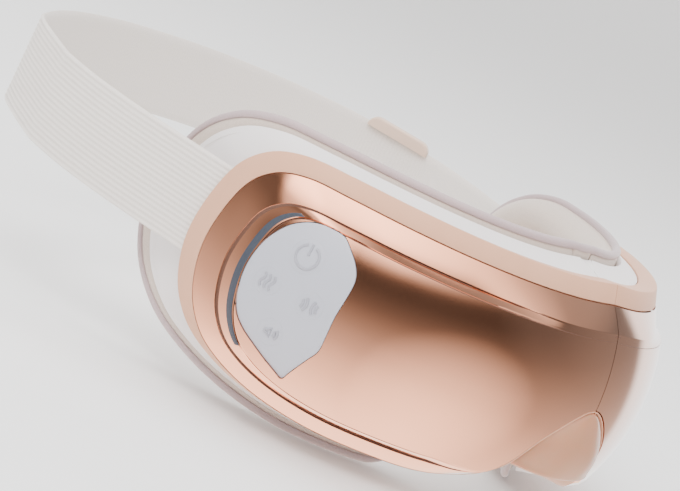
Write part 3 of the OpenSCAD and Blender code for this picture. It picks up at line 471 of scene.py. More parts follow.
roseGold = finish("roseGoldLacquer", "grain", (0.66, 0.35, 0.235), (0.70, 0.38, 0.265), (0.12, 0.15), 1500,
                  0.0003, Metallic=1.0, Coat_Weight=0.8, Coat_Roughness=0.04)
# Painted shade: a dark brown for the thin lines in the groove, where the crease lies in shadow
paintedCreaseShade = finish("paintedCreaseShade", "grain", (0.10, 0.045, 0.03), (0.13, 0.06, 0.04), (0.35, 0.45), 1500,
                     0.001, Specular_IOR_Level=0.3)
peach = finish("peachMatte", "grain", (0.63, 0.33, 0.205), (0.67, 0.37, 0.24), (0.42, 0.52), 2600, 0.004,
               Specular_IOR_Level=0.4)
housingWhite = finish("housingWhite", "grain", (0.80, 0.76, 0.755), (0.84, 0.80, 0.795), (0.40, 0.5), 2400,
                      0.005, Specular_IOR_Level=0.4)
# Painted shade: a darker grey for the raised signs, standing in for the shading of their relief
paintedSignShade = finish("paintedSignShade", "grain", (0.33, 0.335, 0.385), (0.36, 0.365, 0.415), (0.4, 0.5), 3000, 0.001)
panelGrey = finish("panelGrey", "grain", (0.43, 0.44, 0.50), (0.46, 0.47, 0.53), (0.34, 0.42), 3000, 0.002,
                   Specular_IOR_Level=0.45)
lightBar = finish("lightBarSmoke", "grain", (0.04, 0.05, 0.068), (0.05, 0.06, 0.08), (0.3, 0.38), 1800,
                  0.001, Specular_IOR_Level=0.35)
creamLeather = finish("creamLeather", "leather", (0.60, 0.50, 0.43), (0.70, 0.60, 0.53), (0.42, 0.62), 1300,
                      0.03, Sheen_Weight=0.15, Sheen_Roughness=0.5)
mauvePiping = finish("mauvePiping", "leather", (0.44, 0.34, 0.35), (0.54, 0.44, 0.45), (0.4, 0.55), 1800,
                     0.02, Sheen_Weight=0.25, Sheen_Roughness=0.4)
strapTape = finish("elasticTape", "weave", (0.66, 0.60, 0.55), (0.88, 0.82, 0.77), (0.7, 0.9), 142.4, 0.03,
                   read="UV", Sheen_Weight=0.3, Sheen_Roughness=0.6)
noseSkin = finish("noseSilicone", "grain", (0.42, 0.21, 0.12), (0.48, 0.25, 0.15), (0.3, 0.38), 900, 0.003,
                  Subsurface_Weight=0.6, Subsurface_Scale=0.004, Coat_Weight=0.2, Coat_Roughness=0.25)
bucklePeach = finish("bucklePeach", "grain", (0.66, 0.47, 0.36), (0.71, 0.52, 0.41), (0.36, 0.46), 2200,
                     0.004)
steel = finish("steel", "grain", (0.52, 0.53, 0.55), (0.60, 0.61, 0.63), (0.25, 0.4), 1600, 0.002,
               Metallic=1.0)
boardGreen = finish("circuitBoard", "grain", (0.02, 0.12, 0.06), (0.03, 0.16, 0.08), (0.3, 0.45), 1200,
                    0.004)
darkPlastic = finish("darkPlastic", "grain", (0.05, 0.05, 0.055), (0.08, 0.08, 0.085), (0.4, 0.55), 2000,
                     0.004)
greyRubber = finish("greyRubber", "grain", (0.20, 0.20, 0.21), (0.26, 0.26, 0.27), (0.5, 0.65), 1500, 0.004)
heatFilm = finish("heatingFilm", "grain", (0.42, 0.20, 0.06), (0.50, 0.26, 0.09), (0.3, 0.42), 1200, 0.003)
print("materials ready")

# Covers

edgeO = outline
creaseO = layer(-band["end"], -band["top"], -band["low"], 0)
valleyO = layer(-band["end"] - band["crease"], -band["top"] - band["crease"], -band["low"] - band["crease"],
                0)
rimO = layer(-band["end"] - band["grooveEnd"], -band["top"] - band["grooveSide"],
             -band["low"] - band["grooveSide"], 0)
faceSpine = spine(outline, mask["lobeLength"] * 0.22)


def bandHeight(p):
    return mix(faceHeight(p.x, p.y), band["rise"], grooveShare(p))


def valleyHeight(p):
    return mix(faceHeight(p.x, p.y), band["rise"] - band["depth"], grooveShare(p))


cover = {"bandRows": (0, 0.04, 0.1, 0.2, 0.32, 0.45, 0.58, 0.7, 0.82, 0.92, 0.98, 1),
         "slopeRows": (0.12, 0.3, 0.5, 0.7, 0.85, 0.93), "bandSwell": 0.15, "paintedShadeRows": (11, 12, 18),
         "lineAt": 0.93, "lineDepth": 0.28,
         "faceRows": (0.01, 0.03, 0.07, 0.12, 0.18, 0.25, 0.32, 0.4, 0.48, 0.56, 0.64, 0.72, 0.8, 0.88, 0.95,
                      1)}


def coverRows():
    rows = []
    for s in cover["bandRows"]:
        o = betweenLines(edgeO, creaseO, s)
        rows.append([wrapped(p.x, p.y, -(mix(edgeHeight(e), bandHeight(c), s)
                                         + cover["bandSwell"] * 4 * s * (1 - s) * (1 - p.z)))
                     for p, e, c in zip(o, edgeO, creaseO)])
    o = betweenLines(creaseO, valleyO, 0.3)
    rows.append([wrapped(p.x, p.y, -mix(bandHeight(c), valleyHeight(v), 0.55)) for p, c,
                 v in zip(o, creaseO, valleyO)])
    rows.append([wrapped(p.x, p.y, -valleyHeight(p)) for p in valleyO])
    for t in cover["slopeRows"]:
        o = betweenLines(valleyO, rimO, t)
        dip = cover["lineDepth"] if t == cover["lineAt"] else 0
        rows.append([wrapped(p.x, p.y, -mix(valleyHeight(v), faceHeight(r.x, r.y), t) + dip * grooveShare(p))
                     for p, v, r in zip(o, valleyO, rimO)])
    for t in (0, *cover["faceRows"]):
        o = betweenLines(rimO, faceSpine, t)
        rows.append(ring(o, lambda p: -faceHeight(p.x, p.y)))
    return rows


panel = {"u": 108, "z": 1.3, "domeR": 67, "thick": 1.6, "gap": 0.16,
         "reach": (-6, 8), "near": 40, "slack": 0.02,
         "outline": [(-8.1, -23), (-7.2, -23.2), (-6.1, -22.65), (-4.6, -21.9), (-0.6, -20), (3.8, -17.7),
                     (8.3, -15.3), (11.7, -12.7),
                     (13.8, -9.7), (15.2, -5.8), (16.2, 0), (16, 5.4), (14.7, 10.8), (12.4, 15.4),
                     (9.2, 19.3),
                     (5, 22), (1.2, 23.1), (-3, 23.3), (-5.7, 23.1), (-7.3, 22.4), (-9.4, 20.7), (-12.3, 18),
                     (-14.3, 15.3), (-15.2, 12.9), (-15.4, 10.4), (-15.2, 6.1), (-14.8, 1.4), (-14.85, -4),
                     (-14.9, -8.4), (-14.7, -10.3), (-14.1, -11.9), (-12.9, -13.9), (-11, -17.4),
                     (-9.2, -20.8),
                     (-8.7, -22)]}
panelTilt = math.atan(2 * mask["endDrop"] * (panel["u"] - mask["endStart"]) / mask["endRun"] ** 2)


def onPanel(x, y, z):
    # A point of the control panel: x runs to the temple, y inwards and z up. The result is on the right half.
    d = -faceHeight(panel["u"], panel["z"])
    a = panel["u"] / mask["wrapR"]
    r = mask["wrapR"] - d
    turn = a + panelTilt
    return Vector((-(r * math.sin(a) + x * math.cos(turn) - y * math.sin(turn)),
                   mask["wrapR"] - r * math.cos(a) - mask["foldY"] + x * math.sin(turn) + y * math.cos(turn),
                   panel["z"] + z))


def domeAt(x, z):
    return panel["domeR"] - math.sqrt(panel["domeR"] ** 2 - x * x - z * z)


def smoothPanelOutline(grow, steps=5):
    line = through([Vector(p) for p in panel["outline"]], steps, closed=True)
    return [p * (1 + grow / 15) for p in line]


def onSpot(v):
    # The panel coordinates x and z of a point given in metres
    ahead = onPanel(1, 0, 0) - onPanel(0, 0, 0)
    return (v / mm - onPanel(0, 0, 0)).dot(ahead), v.z / mm - panel["z"]


def enclosed(x, z, line):
    hits = 0
    for a, b in zip(line, line[1:] + line[:1]):
        if (a.y > z) != (b.y > z) and x < (b.x - a.x) * (z - a.y) / (b.y - a.y) + a.x:
            hits += 1
    return hits % 2 == 1


def openForPanel(sheet):
    # A wall on the panel's axis cuts the sheet, and every face inside it then goes
    edge = smoothPanelOutline(panel["gap"])
    wall = laidGrid("panelWall", [[onPanel(p.x, y, p.y) for p in edge] for y in panel["reach"]], loop=True)
    for piece, chosen in ((sheet, False), (wall, True)):
        for part in (piece.data.vertices, piece.data.edges, piece.data.polygons):
            part.foreach_set("select", [chosen] * len(part))
    joinTo(sheet, [wall])
    setMode("EDIT")
    bpy.ops.mesh.select_mode(type="FACE")
    bpy.ops.mesh.intersect(mode="SELECT_UNSELECT", separate_mode="CUT", threshold=1e-7, solver="EXACT")
    setMode("OBJECT")
    sheet.data.polygons.foreach_set("select", [len(p.vertices) > 4 for p in sheet.data.polygons])
    setMode("EDIT")
    bpy.ops.mesh.quads_convert_to_tris()  # a face that bends round the panel's tip has its middle in the hole
    setMode("OBJECT")
    wide = smoothPanelOutline(panel["gap"] + panel["slack"])
    middle = onPanel(0, 0, 0)
    chosen = [(p.center / mm - middle).length < panel["near"] and enclosed(*onSpot(p.center), wide)
              for p in sheet.data.polygons]
    sheet.data.polygons.foreach_set("select", chosen)
    setMode("EDIT")
    bpy.ops.mesh.delete(type="FACE")
    bpy.ops.mesh.select_all(action="SELECT")
    bpy.ops.mesh.remove_doubles(threshold=3e-5)
    bpy.ops.mesh.dissolve_degenerate(threshold=2e-5)
    setMode("OBJECT")


def prism(name, points, low, high):
    # A straight-sided cutter on the panel's axis
    rows = [[onPanel(p.x, y, p.y) for p in points] for y in (low, high)]
    return laidGrid(name, rows, loop=True, caps=True)


def cut(piece, cutter, operation="DIFFERENCE"):
    modify(piece, "BOOLEAN", operation=operation, object=cutter, solver="EXACT")
    bpy.data.objects.remove(cutter)


def makeCover(name, side, node):
    piece = laidGrid(name, coverRows(), side=side)
    piece.data.materials.append(roseGold)
    piece.data.materials.append(paintedCreaseShade)
    for face in piece.data.polygons:  # the groove's two thin lines take painted shade, a dark brown where the crease lies in shadow
        row, place = divmod(face.index, last)
        if row in cover["paintedShadeRows"] and grooveShare(creaseO[place]) > 0.2:
            face.material_index = 1
    if side < 0:
        openForPanel(piece)
    else:
        flip(piece)
    modify(piece, "SOLIDIFY", thickness=mask["wall"] * mm, offset=-1, use_even_offset=False)
    return dress(piece, (), halfOf(side), [node], angle=40)


makeCover("frontCoverLeft", 1, "front_cover_left")
makeCover("frontCoverRight", -1, "front_cover_right")
print("covers made")

# Light strip on the groove's slope

lightStrip = {"from": 19, "to": 29, "outer": 0.57, "inner": 0.87, "lift": 0.3, "crown": 0.12, "thick": 0.9}


def makeLightStrip():
    perStep = outlineSteps // 2
    rows = []
    for i in range(lightStrip["from"] * perStep, lightStrip["to"] * perStep + 1):
        v, r = valleyO[i], rimO[i]
        row = []
        for k in range(7):
            s = k / 6
            t = mix(lightStrip["outer"], lightStrip["inner"], s)
            p = mix(v, r, t)
            up = mix(valleyHeight(v), faceHeight(r.x, r.y),
                     t) + lightStrip["lift"] + lightStrip["crown"] * 4 * s * (1 - s)
            row.append(wrapped(p.x, p.y, -up))
        rows.append(row)
    strip = laidGrid("lightStrip", rows, side=-1)
    flip(strip)
    modify(strip, "SOLIDIFY", thickness=lightStrip["thick"] * mm, offset=-1)
    bevelEdges(strip, 0.12, 2, 50)
    return dress(strip, lightBar, "right_half", ["light_guide"])


makeLightStrip()

# Frame rings, housings

frameRing = {"end": 8, "top": 6.4, "low": 0.8, "depth": 9, "fit": 0.3, "edge": 0.5,
             "slotX": 99, "slotY": 74.5, "slotWide": 2.5, "slotLong": 32, "slotTall": 33, "slotZ": 10.9,
             "slotTurn": 17.1}
shell = {"depth": 18, "wall": 2, "end": 30, "top": 8.3, "low": 4, "lean": 0.8, "drop": 4}


def level(depth):
    return lambda p: depth - edgeHeight(p)


def shellDepth(p, d):
    return d - shell["drop"] * (max(p.x, 0) / (mask["lobeLength"] + shell["end"])) ** 4


def frameSections():
    f = frameRing
    front = layer(f["end"], f["top"], f["low"], 0.9)
    back = layer(f["end"] - 0.8, f["top"] - 0.8, f["low"], 0.9)
    step = layer(f["fit"], f["fit"], f["fit"], f["fit"])
    lip = layer(-3, -3, -2, -1.4)
    seat = [mask["wall"] + 0.2 + 0.3 * p.z - edgeHeight(p) for p in outline]
    slope = [mix(2.6 * abs(p.y) / mask["halfHeight"], 3, (max(p.x, 0) / mask["lobeLength"]) ** 4) * (1 - p.z)
             - edgeHeight(p) for p in outline]
    rear = [f["depth"] - edgeHeight(p) for p in outline]
    rings = [ringOf(step, [0.2 - edgeHeight(p) for p in outline]), ringOf(front, slope), ringOf(back, rear),
             ringOf(lip, rear), ringOf(lip, seat), ringOf(step, seat)]
    return [rounded([r[i] for r in rings], f["edge"]) for i in range(last + 1)]


def makeFrame(name, side, node):
    piece = laidGrid(name, frameSections(), loop=True, caps=True, side=side)
    f = frameRing
    bpy.ops.mesh.primitive_cube_add(size=1,
                                    location=(side * f["slotX"] * mm, f["slotY"] * mm, f["slotZ"] * mm),
                                    rotation=(0, 0, -side * math.radians(f["slotTurn"])),
                                    scale=(f["slotWide"] * mm, f["slotLong"] * mm, f["slotTall"] * mm))
    cut(piece, bpy.context.object)
    return dress(piece, peach, halfOf(side), [node], angle=30)


makeFrame("frameRingLeft", 1, "mid_frame_left")
makeFrame("frameRingRight", -1, "mid_frame_right")
print("frame rings made")


def shellRows():
    f = frameRing
    front = layer(f["end"] - 1.6, f["top"] - 1.4, f["low"], 0.9)
    rear = layer(shell["end"], shell["top"], shell["low"], 0.9, shell["lean"])
    brink = layer(shell["end"] - 2, shell["top"] - 2, shell["low"] - 1.6, -0.7, shell["lean"])
    backbone = spine(brink, mask["lobeLength"] * 0.2)
    d0 = [f["depth"] + f["fit"] - edgeHeight(p) for p in outline]
    d1 = [shellDepth(p, shell["depth"] - 1.2) for p in rear]
    d2 = [shellDepth(p, shell["depth"]) for p in brink]
    rows = [ringOf(betweenLines(front, rear, t),
                   [mix(a, b, t) + 0.35 * math.sin(math.pi * t) for a, b in zip(d0, d1)])
            for t in (0, 0.15, 0.3, 0.45, 0.6, 0.75, 0.88, 0.96)]
    for t in (0, 0.35, 0.7, 1):
        rows.append(ringOf(betweenLines(rear, brink, t),
                           [mix(a, b, math.sin(t * math.pi / 2)) for a, b in zip(d1, d2)]))
    for t in (0.06, 0.15, 0.25, 0.4, 0.6, 0.8, 1):
        rows.append(ring(betweenLines(brink, backbone, t), lambda p: shellDepth(p, shell["depth"])))
    return rows


def makeShell(name, side, node):
    piece = laidGrid(name, shellRows(), side=side)
    if side < 0:
        flip(piece)
    modify(piece, "SOLIDIFY", thickness=shell["wall"] * mm, offset=-1, use_even_offset=False)
    for v in piece.data.vertices:  # the wall's inner edge stays clear of the other half when the fold closes
        least = 0.1 * mm + max(0, v.co.y) * math.tan(math.radians(mask["flankAngle"] - 1))
        v.co.x = side * max(side * v.co.x, least)
    return dress(piece, housingWhite, halfOf(side), [node], angle=50)


makeShell("innerShellLeft", 1, "inner_shell_left")
makeShell("innerShellRight", -1, "inner_shell_right")
print("housings made")

# Control panel and its keys

keys = {"power": (0.4, 13, 5.2), "heat": (7.9, 1.2, 4.2), "massage": (-6.8, 0.5, 4.2),
        "sound": (0.7, -12, 4.2)}
keyStyle = {"gap": 0.015, "wide": 0.45, "proud": 0.4, "edge": 0.015}


def domeDisc(name, outlinePoints, centre, bevel, thick, rings=14):
    # A domed plate with a rounded edge, laid in rings from its rim to its middle, then closed behind
    def at(p, deep):
        return onPanel(p.x, domeAt(p.x, p.y) + deep, p.y)
    c = Vector(centre)
    rows = [[at(p, thick) for p in outlinePoints]]
    for k in range(4):
        a = k / 3 * math.pi / 2
        drop = bevel * (1 - math.sin(a))
        shrink = [1 - bevel * (1 - math.cos(a)) / max((p - c).length, 1e-6) for p in outlinePoints]
        rows.append([at(c + (p - c) * s, drop) for p, s in zip(outlinePoints, shrink)])
    for k in range(1, rings + 1):
        t = (k / rings) ** 0.9
        rows.append([at(mix(p, c, t), 0) for p in outlinePoints])
    return laidGrid(name, rows, loop=True, caps=True)


def circle(x, z, r, n=72):
    return [Vector((x + r * math.cos(2 * math.pi * k / n), z + r * math.sin(2 * math.pi * k / n)))
            for k in range(n)]


def stroke(name, line, closed=False):
    # A raised line of a pictogram, lying on the panel's dome
    bpy.ops.curve.primitive_nurbs_path_add()
    piece = bpy.context.object
    piece.name = name
    path = piece.data
    path.splines.clear()
    spline = path.splines.new("POLY")
    spline.points.add(len(line) - 1)
    for point, (x, z) in zip(spline.points, line):
        point.co = (*(onPanel(x, domeAt(x, z) + keyStyle["wide"] - keyStyle["proud"], z) * mm), 1)
    spline.use_cyclic_u = closed
    path.dimensions = "3D"
    path.bevel_depth = keyStyle["wide"] * mm
    path.bevel_resolution = 3
    path.use_fill_caps = True
    piece.location = (0, 0, 0)
    only(piece)
    bpy.ops.object.convert(target="MESH")
    editMesh(bpy.context.object, (bpy.ops.mesh.remove_doubles, {"threshold": 1e-6}))
    return bpy.context.object


def arc(x, z, r, start, stop, n=24):
    return [(x + r * math.cos(math.radians(mix(start, stop, k / n))),
             z + r * math.sin(math.radians(mix(start, stop, k / n))))
            for k in range(n + 1)]


def wave(x, z, tall, swing, n=24):
    return [(x + swing * math.sin(2 * math.pi * k / n), z + tall * (k / n - 0.5)) for k in range(n + 1)]


def pictogram(name):
    # Generic signs: power, heat waves, pulses towards each other, and a loudspeaker
    x, z, _ = keys[name]
    if name == "power":
        return [arc(x, z, 3.55, 113, 427, 56), [(x, z + 3.9), (x, z + 0.5)]]
    if name == "heat":
        return [wave(x + dx, z, 4.4, 0.5) for dx in (-1.65, 0, 1.65)]
    if name == "massage":
        return [arc(x + side * 4.1, z, r, 90 + side * 90 - 36, 90 + side * 90 + 36) for side in (-1, 1)
                for r in (2, 3.3)]
    horn = [(x + 1.7, z - 0.5), (x + 1.7, z + 0.5), (x + 0.9, z + 0.5), (x - 0.2, z + 1.35),
            (x - 0.2, z - 1.35),
            (x + 0.9, z - 0.5), (x + 1.7, z - 0.5)]
    return [horn, arc(x - 0.3, z, 1.2, 140, 220), arc(x - 0.3, z, 2.2, 140, 220)]


def makePanel():
    plate = domeDisc("controlPanel", smoothPanelOutline(-0.02), (0, 0), 0.2, panel["thick"], rings=26)
    for x, z, r in keys.values():
        cut(plate, prism("keyCutter", circle(x, z, r + keyStyle["gap"]), *panel["reach"]))
    dress(plate, panelGrey, "right_half", ["control_panel"])
    for name, (x, z, r) in keys.items():
        key = domeDisc(f"{name}Key", circle(x, z, r), (x, z), keyStyle["edge"], panel["thick"], rings=6)
        signs = [stroke(f"{name}Sign{n}", line) for n, line in enumerate(pictogram(name))]
        key.data.materials.append(panelGrey)
        # The raised signs take a darker grey: painted shade that stands in for the shading of their relief
        for sign in signs:
            sign.data.materials.append(paintedSignShade)
        joinTo(key, signs)
        dress(key, (), f"{name}_button", [f"{name}_key"])


makePanel()
print("panel and keys made")

# Face pads, piping and linings

pad = {"end": 36.5, "top": 10.2, "low": 6.2, "thick": 12, "wide": 15, "depth": shell["depth"] + 0.4,
       "profile": [(8, 0), (4.5, 0), (1, 0), (0.15, 0.08), (0, 0.2), (0.6, 0.43), (1.6, 0.62), (3.2, 0.8),
                   (5.5, 0.93),
                   (7.2, 0.98), (9, 1), (10.9, 0.96), (12.5, 0.85), (13.8, 0.69), (14.6, 0.5), (14.95, 0.22),
                   (15, 0),
                   (11.5, 0)],
       "seams": (0.62, 0.8), "seamDepth": 0.35}
piping = {"radius": 1.5, "off": 0.55, "deep": 0.12, "sides": 24, "weltAt": 3.75, "weltDeep": 0.22,
          "weltWide": 0.22, "slim": 0.5, "notch": -1, "across": 10}
dome = {"rise": 4, "inset": 0.6}
foldBlend = ("right_half", "left_half", (-0.008, 0, 0), (0.008, 0, 0))


def padLayer(inset):
    return layer(pad["end"] - inset, pad["top"] - inset, pad["low"] - inset, -0.6 * inset, shell["lean"])


def padSections():
    rings = []
    for x, y in pad["profile"]:
        inset = x * pad["wide"] / 15
        sink = pad["seamDepth"] if y in pad["seams"] else 0
        o = padLayer(inset + sink * 0.7)
        rings.append(ring(o, lambda p: shellDepth(p, pad["depth"] + y * pad["thick"] - sink * 0.6)))
    return [[r[i] for r in rings] for i in range(last + 1)]


def makePad(name, side, node):
    piece = laidGrid(name, padSections(), loop=True, caps=True, side=side)
    modify(piece, "SUBSURF", levels=1, render_levels=1)
    dress(piece, creamLeather, halfOf(side), [node], angle=60)
    return piece


def pipingRing(p, n, deep, slim=0):
    # A round cord with a stitched line along it, on the side of the housing
    row = []
    for k in range(piping["sides"]):
        a = 2 * math.pi * k / piping["sides"]
        seam = math.exp(-((a - piping["weltAt"]) / piping["weltWide"]) ** 2)
        r = piping["radius"] * (1 - piping["slim"] * slim) * (1 - piping["weltDeep"] * seam)
        row.append(wrapped(p.x + n.x * r * math.cos(a), p.y + n.y * r * math.cos(a), deep + r * math.sin(a)))
    return row


def makePiping(name, side, node):
    # In the notch it lies in the pad and is half as thick
    o = layer(*(pad[k] + piping["off"] for k in ("end", "top", "low")), piping["notch"], shell["lean"])
    deep = pad["depth"] + piping["deep"] * pad["thick"]
    rows = [pipingRing(p, outwardAt(i), shellDepth(p, deep), min(1, 3 * p.z)) for i, p in enumerate(o)]
    piece = laidGrid(name, rows, loop=True, caps=True, side=side)
    return dress(piece, mauvePiping, halfOf(side), [node])


def makePipingAcross(name, place, up):
    # The same cord over the fold
    deep = pad["depth"] + piping["deep"] * pad["thick"]
    end = pipingRing(Vector((-0.02, place)), Vector((0, up)), deep)
    rows = []
    for k in range(piping["across"] + 1):
        s = 2 * k / piping["across"] - 1
        rows.append([Vector((p.x * s, p.y - 0.5 * (1 - s * s), p.z)) for p in end])
    piece = laidGrid(name, rows, loop=True, caps=True)
    return dress(piece, mauvePiping, between=foldBlend)


def domedRows(share, depth, rise):
    # Rings of one face of a sheet inside the pad's border, from its rim to its middle line
    i = pad["wide"] + dome["inset"]
    well = layer(pad["end"] - i, pad["top"] - i, pad["low"] - i, -0.6 * pad["wide"] - dome["inset"],
                 shell["lean"])
    backbone = spine(well, mask["lobeLength"] * 0.2)
    rows = []
    for t in (0, 0.06, 0.14, 0.24, 0.36, 0.5, 0.66, 0.83, 1):
        s = mix(share, 1, t)
        rows.append(ring(betweenLines(well, backbone, s),
                         lambda p: shellDepth(p, depth) + rise * math.sin(math.pi / 2 * s)))
    return rows


sheets = {"pad_lining": ("padLining", creamLeather, "lining_fabric", 0, pad["depth"] + 4.6 + 1.4, 1.4),
          "heating_film": ("heatingFilm", heatFilm, "heater_film", 0.12, pad["depth"] + 3.5 + 0.6, 0.6),
          "airbag": ("airBag", greyRubber, "airbag_film", 0.2, pad["depth"] + 3, 3)}


def makeSheets(side, suffix):
    for node, (name, material, slot, share, depth, thick) in sheets.items():
        piece = laidGrid(f"{name}{suffix.capitalize()}", domedRows(share, depth, dome["rise"]), side=side)
        if side < 0:
            flip(piece)
        modify(piece, "SOLIDIFY", thickness=thick * mm, offset=-1, use_even_offset=False)
        dress(piece, material, f"{suffix}_half", [f"{node}_{suffix}"], angle=60)


for side, suffix in ((1, "left"), (-1, "right")):
    makePad(f"facePad{suffix.capitalize()}", side, f"face_pad_{suffix}")
    makePiping(f"piping{suffix.capitalize()}", side, f"piping_{suffix}")
    makeSheets(side, suffix)
print("pads made")

# The soft pieces across the fold

nosePiece = {"rows": 12, "edge": 1.15, "wall": 1.4, "sides": 32, "seat": 0.9, "front": -26.4, "sag": 0.6,
             "fullness": 2.8,
             "tuck": 12, "tuckFrom": 0.55, "swell": 1.25, "swellPower": 0.8,
             "curl": ((1.2, -22.6, -21.6), (4.5, -18.5, -22), (8.5, -12.5, -20.6))}


def makeNosePiece():
    # A bulging saddle from the top of the notch down, which then curls back towards the nose
    edge = layer(0, 0, 0, nosePiece["edge"])
    middles, edges = [], []
    for i in range(last, last - nosePiece["rows"] - 1, -1):
        share = (last - i) / nosePiece["rows"]
        e = wrapped(edge[i].x, edge[i].y, nosePiece["seat"] - edgeHeight(outline[i]))
        bulge = math.sin(min(1, share * nosePiece["swell"]) * math.pi / 2) ** nosePiece["swellPower"]
        tuck = nosePiece["tuck"] * max(0, share - nosePiece["tuckFrom"]) ** 2
        middles.append(Vector((0, mix(e.y, nosePiece["front"], bulge) + tuck,
                               e.z - nosePiece["sag"] * share)))
        edges.append(e)
    for deep, y, z in nosePiece["curl"]:
        p = edge[last - nosePiece["rows"]]
        edges.append(wrapped(p.x, p.y - 0.2 * deep, deep))
        middles.append(Vector((0, y, z)))
    middles, edges = through(middles, 3), through(edges, 3)
    rows = []
    for m, e in zip(middles, edges):
        row = []
        for k in range(nosePiece["sides"] + 1):
            t = 2 * k / nosePiece["sides"] - 1
            s = abs(t) ** nosePiece["fullness"]
            row.append(Vector((e.x * t, mix(m.y, e.y, s), mix(m.z, e.z, s))))
        rows.append(row)
    piece = laidGrid("nosePiece", rows)
    modify(piece, "SOLIDIFY", thickness=nosePiece["wall"] * mm, offset=1)
    bevelEdges(piece, 0.4, 3, 50)
    return dress(piece, noseSkin, nodes=["nose_piece"], angle=60, between=foldBlend)


makeNosePiece()

bridge = {"rows": ((0, 0.5), (0.03, 0.68), (0.08, 0.85), (0.16, 0.96), (0.28, 1), (0.4, 1), (0.55, 1),
                   (0.68, 0.98),
                   (0.8, 0.95), (0.9, 0.87), (0.96, 0.75), (1, 0.5)), "low": 2.9, "high": 44, "gap": 0.05}


def bridgeHalf(d):
    return flank(d - flank(d) ** 2 / (2 * (mask["wrapR"] - d))) - bridge["gap"]


def makeBridge():
    front, back = pad["depth"] + 0.2, pad["depth"] + pad["thick"] - 1.2
    rows = []
    for height, share in bridge["rows"]:
        b = mix(front, back, share)
        z, y0, y1 = mix(bridge["low"], bridge["high"], height), front - mask["foldY"], b - mask["foldY"]
        w0, w1 = bridgeHalf(front), bridgeHalf(b)
        loop = [Vector((-w0, y0, z)), Vector((-w1, y1 - 0.8, z)), Vector((-w1 * 0.5, y1 + 0.2, z)),
                Vector((w1 * 0.5, y1 + 0.2, z)), Vector((w1, y1 - 0.8, z)), Vector((w0, y0, z))]
        rows.append(rounded(loop, 1.0, 3))
    piece = laidGrid("bridgePad", rows, loop=True, caps=True)
    bevelEdges(piece, 0.7, 3, 55)
    dress(piece, creamLeather, nodes=["bridge_pad"], angle=60, between=foldBlend)
    return piece


makeBridge()
gusset = {"depths": (12.4, 13.6, 15, 16.4, 17.6), "low": 36.6, "top": (39, 42.1), "from": 9.3, "to": 16.8}


def makeGusset():
    # Soft white skin that closes the wedge between the housings at the top of the fold
    rows = []
    for d in gusset["depths"]:
        top = mix(*gusset["top"], min(1, (d - gusset["from"]) / (gusset["to"] - gusset["from"])))
        w, y = bridgeHalf(d) + 0.15, d - mask["foldY"]
        rows.append([Vector((x, y, z)) for x,
                     z in ((-w, gusset["low"]), (w, gusset["low"]), (w, top), (w * 0.4, top - 0.35),
                                                    (-w * 0.4, top - 0.35), (-w, top))])
    piece = laidGrid("foldGusset", rows, loop=True, caps=True)
    return dress(piece, housingWhite, between=foldBlend)


makeGusset()
makePipingAcross("pipingAcross", mask["halfHeight"] + pad["top"] + piping["off"], 1)
print("nose piece and bridge pad made")

# Strap and slider

strap = {"wide": 30, "thick": 1.6, "z": 9.5, "rise": 11.7, "ribs": 19, "ribDepth": 0.34, "edge": 0.45,
         "path": [(93.5, 58), (97, 68), (101, 81), (106, 96), (109.5, 110), (111, 124), (110, 137),
                  (107.3, 145),
                  (93.2, 170.5), (81, 180), (65, 188), (46, 194), (24, 198), (0, 199.2)]}
# The strap can't go slack as elastic does, so it crosses itself and the slider when the mask is folded up.
strapBlend = ("right_half", "left_half", (-0.09, 0.19, 0), (0.09, 0.19, 0))


def strapSection(perRib=6):
    # The ribbon's section: height and thickness, round its ribbed outside and its plain inside
    half, thick = strap["wide"] / 2, strap["thick"] / 2
    n = strap["ribs"] * perRib
    out = []
    for k in range(n + 1):
        t = k / n
        edge = min(1, min(t, 1 - t) * strap["wide"] / strap["edge"])
        swell = math.sqrt(max(0, 1 - (1 - edge) ** 2))
        rib = strap["ribDepth"] * (0.5 - 0.5 * math.cos(2 * math.pi * t * strap["ribs"]))
        out.append((mix(-half, half, t), (thick - strap["ribDepth"] + rib) * swell))
    for k in range(20, -1, -1):
        t = k / 20
        edge = min(1, min(t, 1 - t) * strap["wide"] / strap["edge"])
        out.append((mix(-half, half, t), -thick * math.sqrt(max(0, 1 - (1 - edge) ** 2)) - 0.001))
    return out


def strapLine(steps=9):
    path = [Vector((x, y)) for x, y in strap["path"]]
    path += [Vector((-p.x, p.y)) for p in reversed(path[:-1])]
    return through(path, steps)


def strapHeight(p):
    first, final = strap["path"][0][1], strap["path"][-1][1]
    return strap["z"] + strap["rise"] * (p.y - first) / (final - first)


def makeStrap():
    line, section = strapLine(), strapSection()
    rows = []
    for i, p in enumerate(line):
        ahead = (line[min(i + 1, len(line) - 1)] - line[max(i - 1, 0)]).normalized()
        out = Vector((ahead.y, -ahead.x))
        z = strapHeight(p)
        rows.append([Vector((p.x + out.x * t, p.y + out.y * t, z + h)) for h, t in section])
    piece = laidGrid("headStrap", rows, loop=True, caps=True)
    return dress(piece, strapTape, nodes=["strap"], angle=50, between=strapBlend)


makeStrap()
print("strap made")

slider = {"from": (107.3, 145), "to": (93.2, 170.5), "long": 26, "wall": 2.8, "fit": 0.3, "lip": 1.3,
          "edge": 0.8,
          "window": (9, 22), "corner": 4}


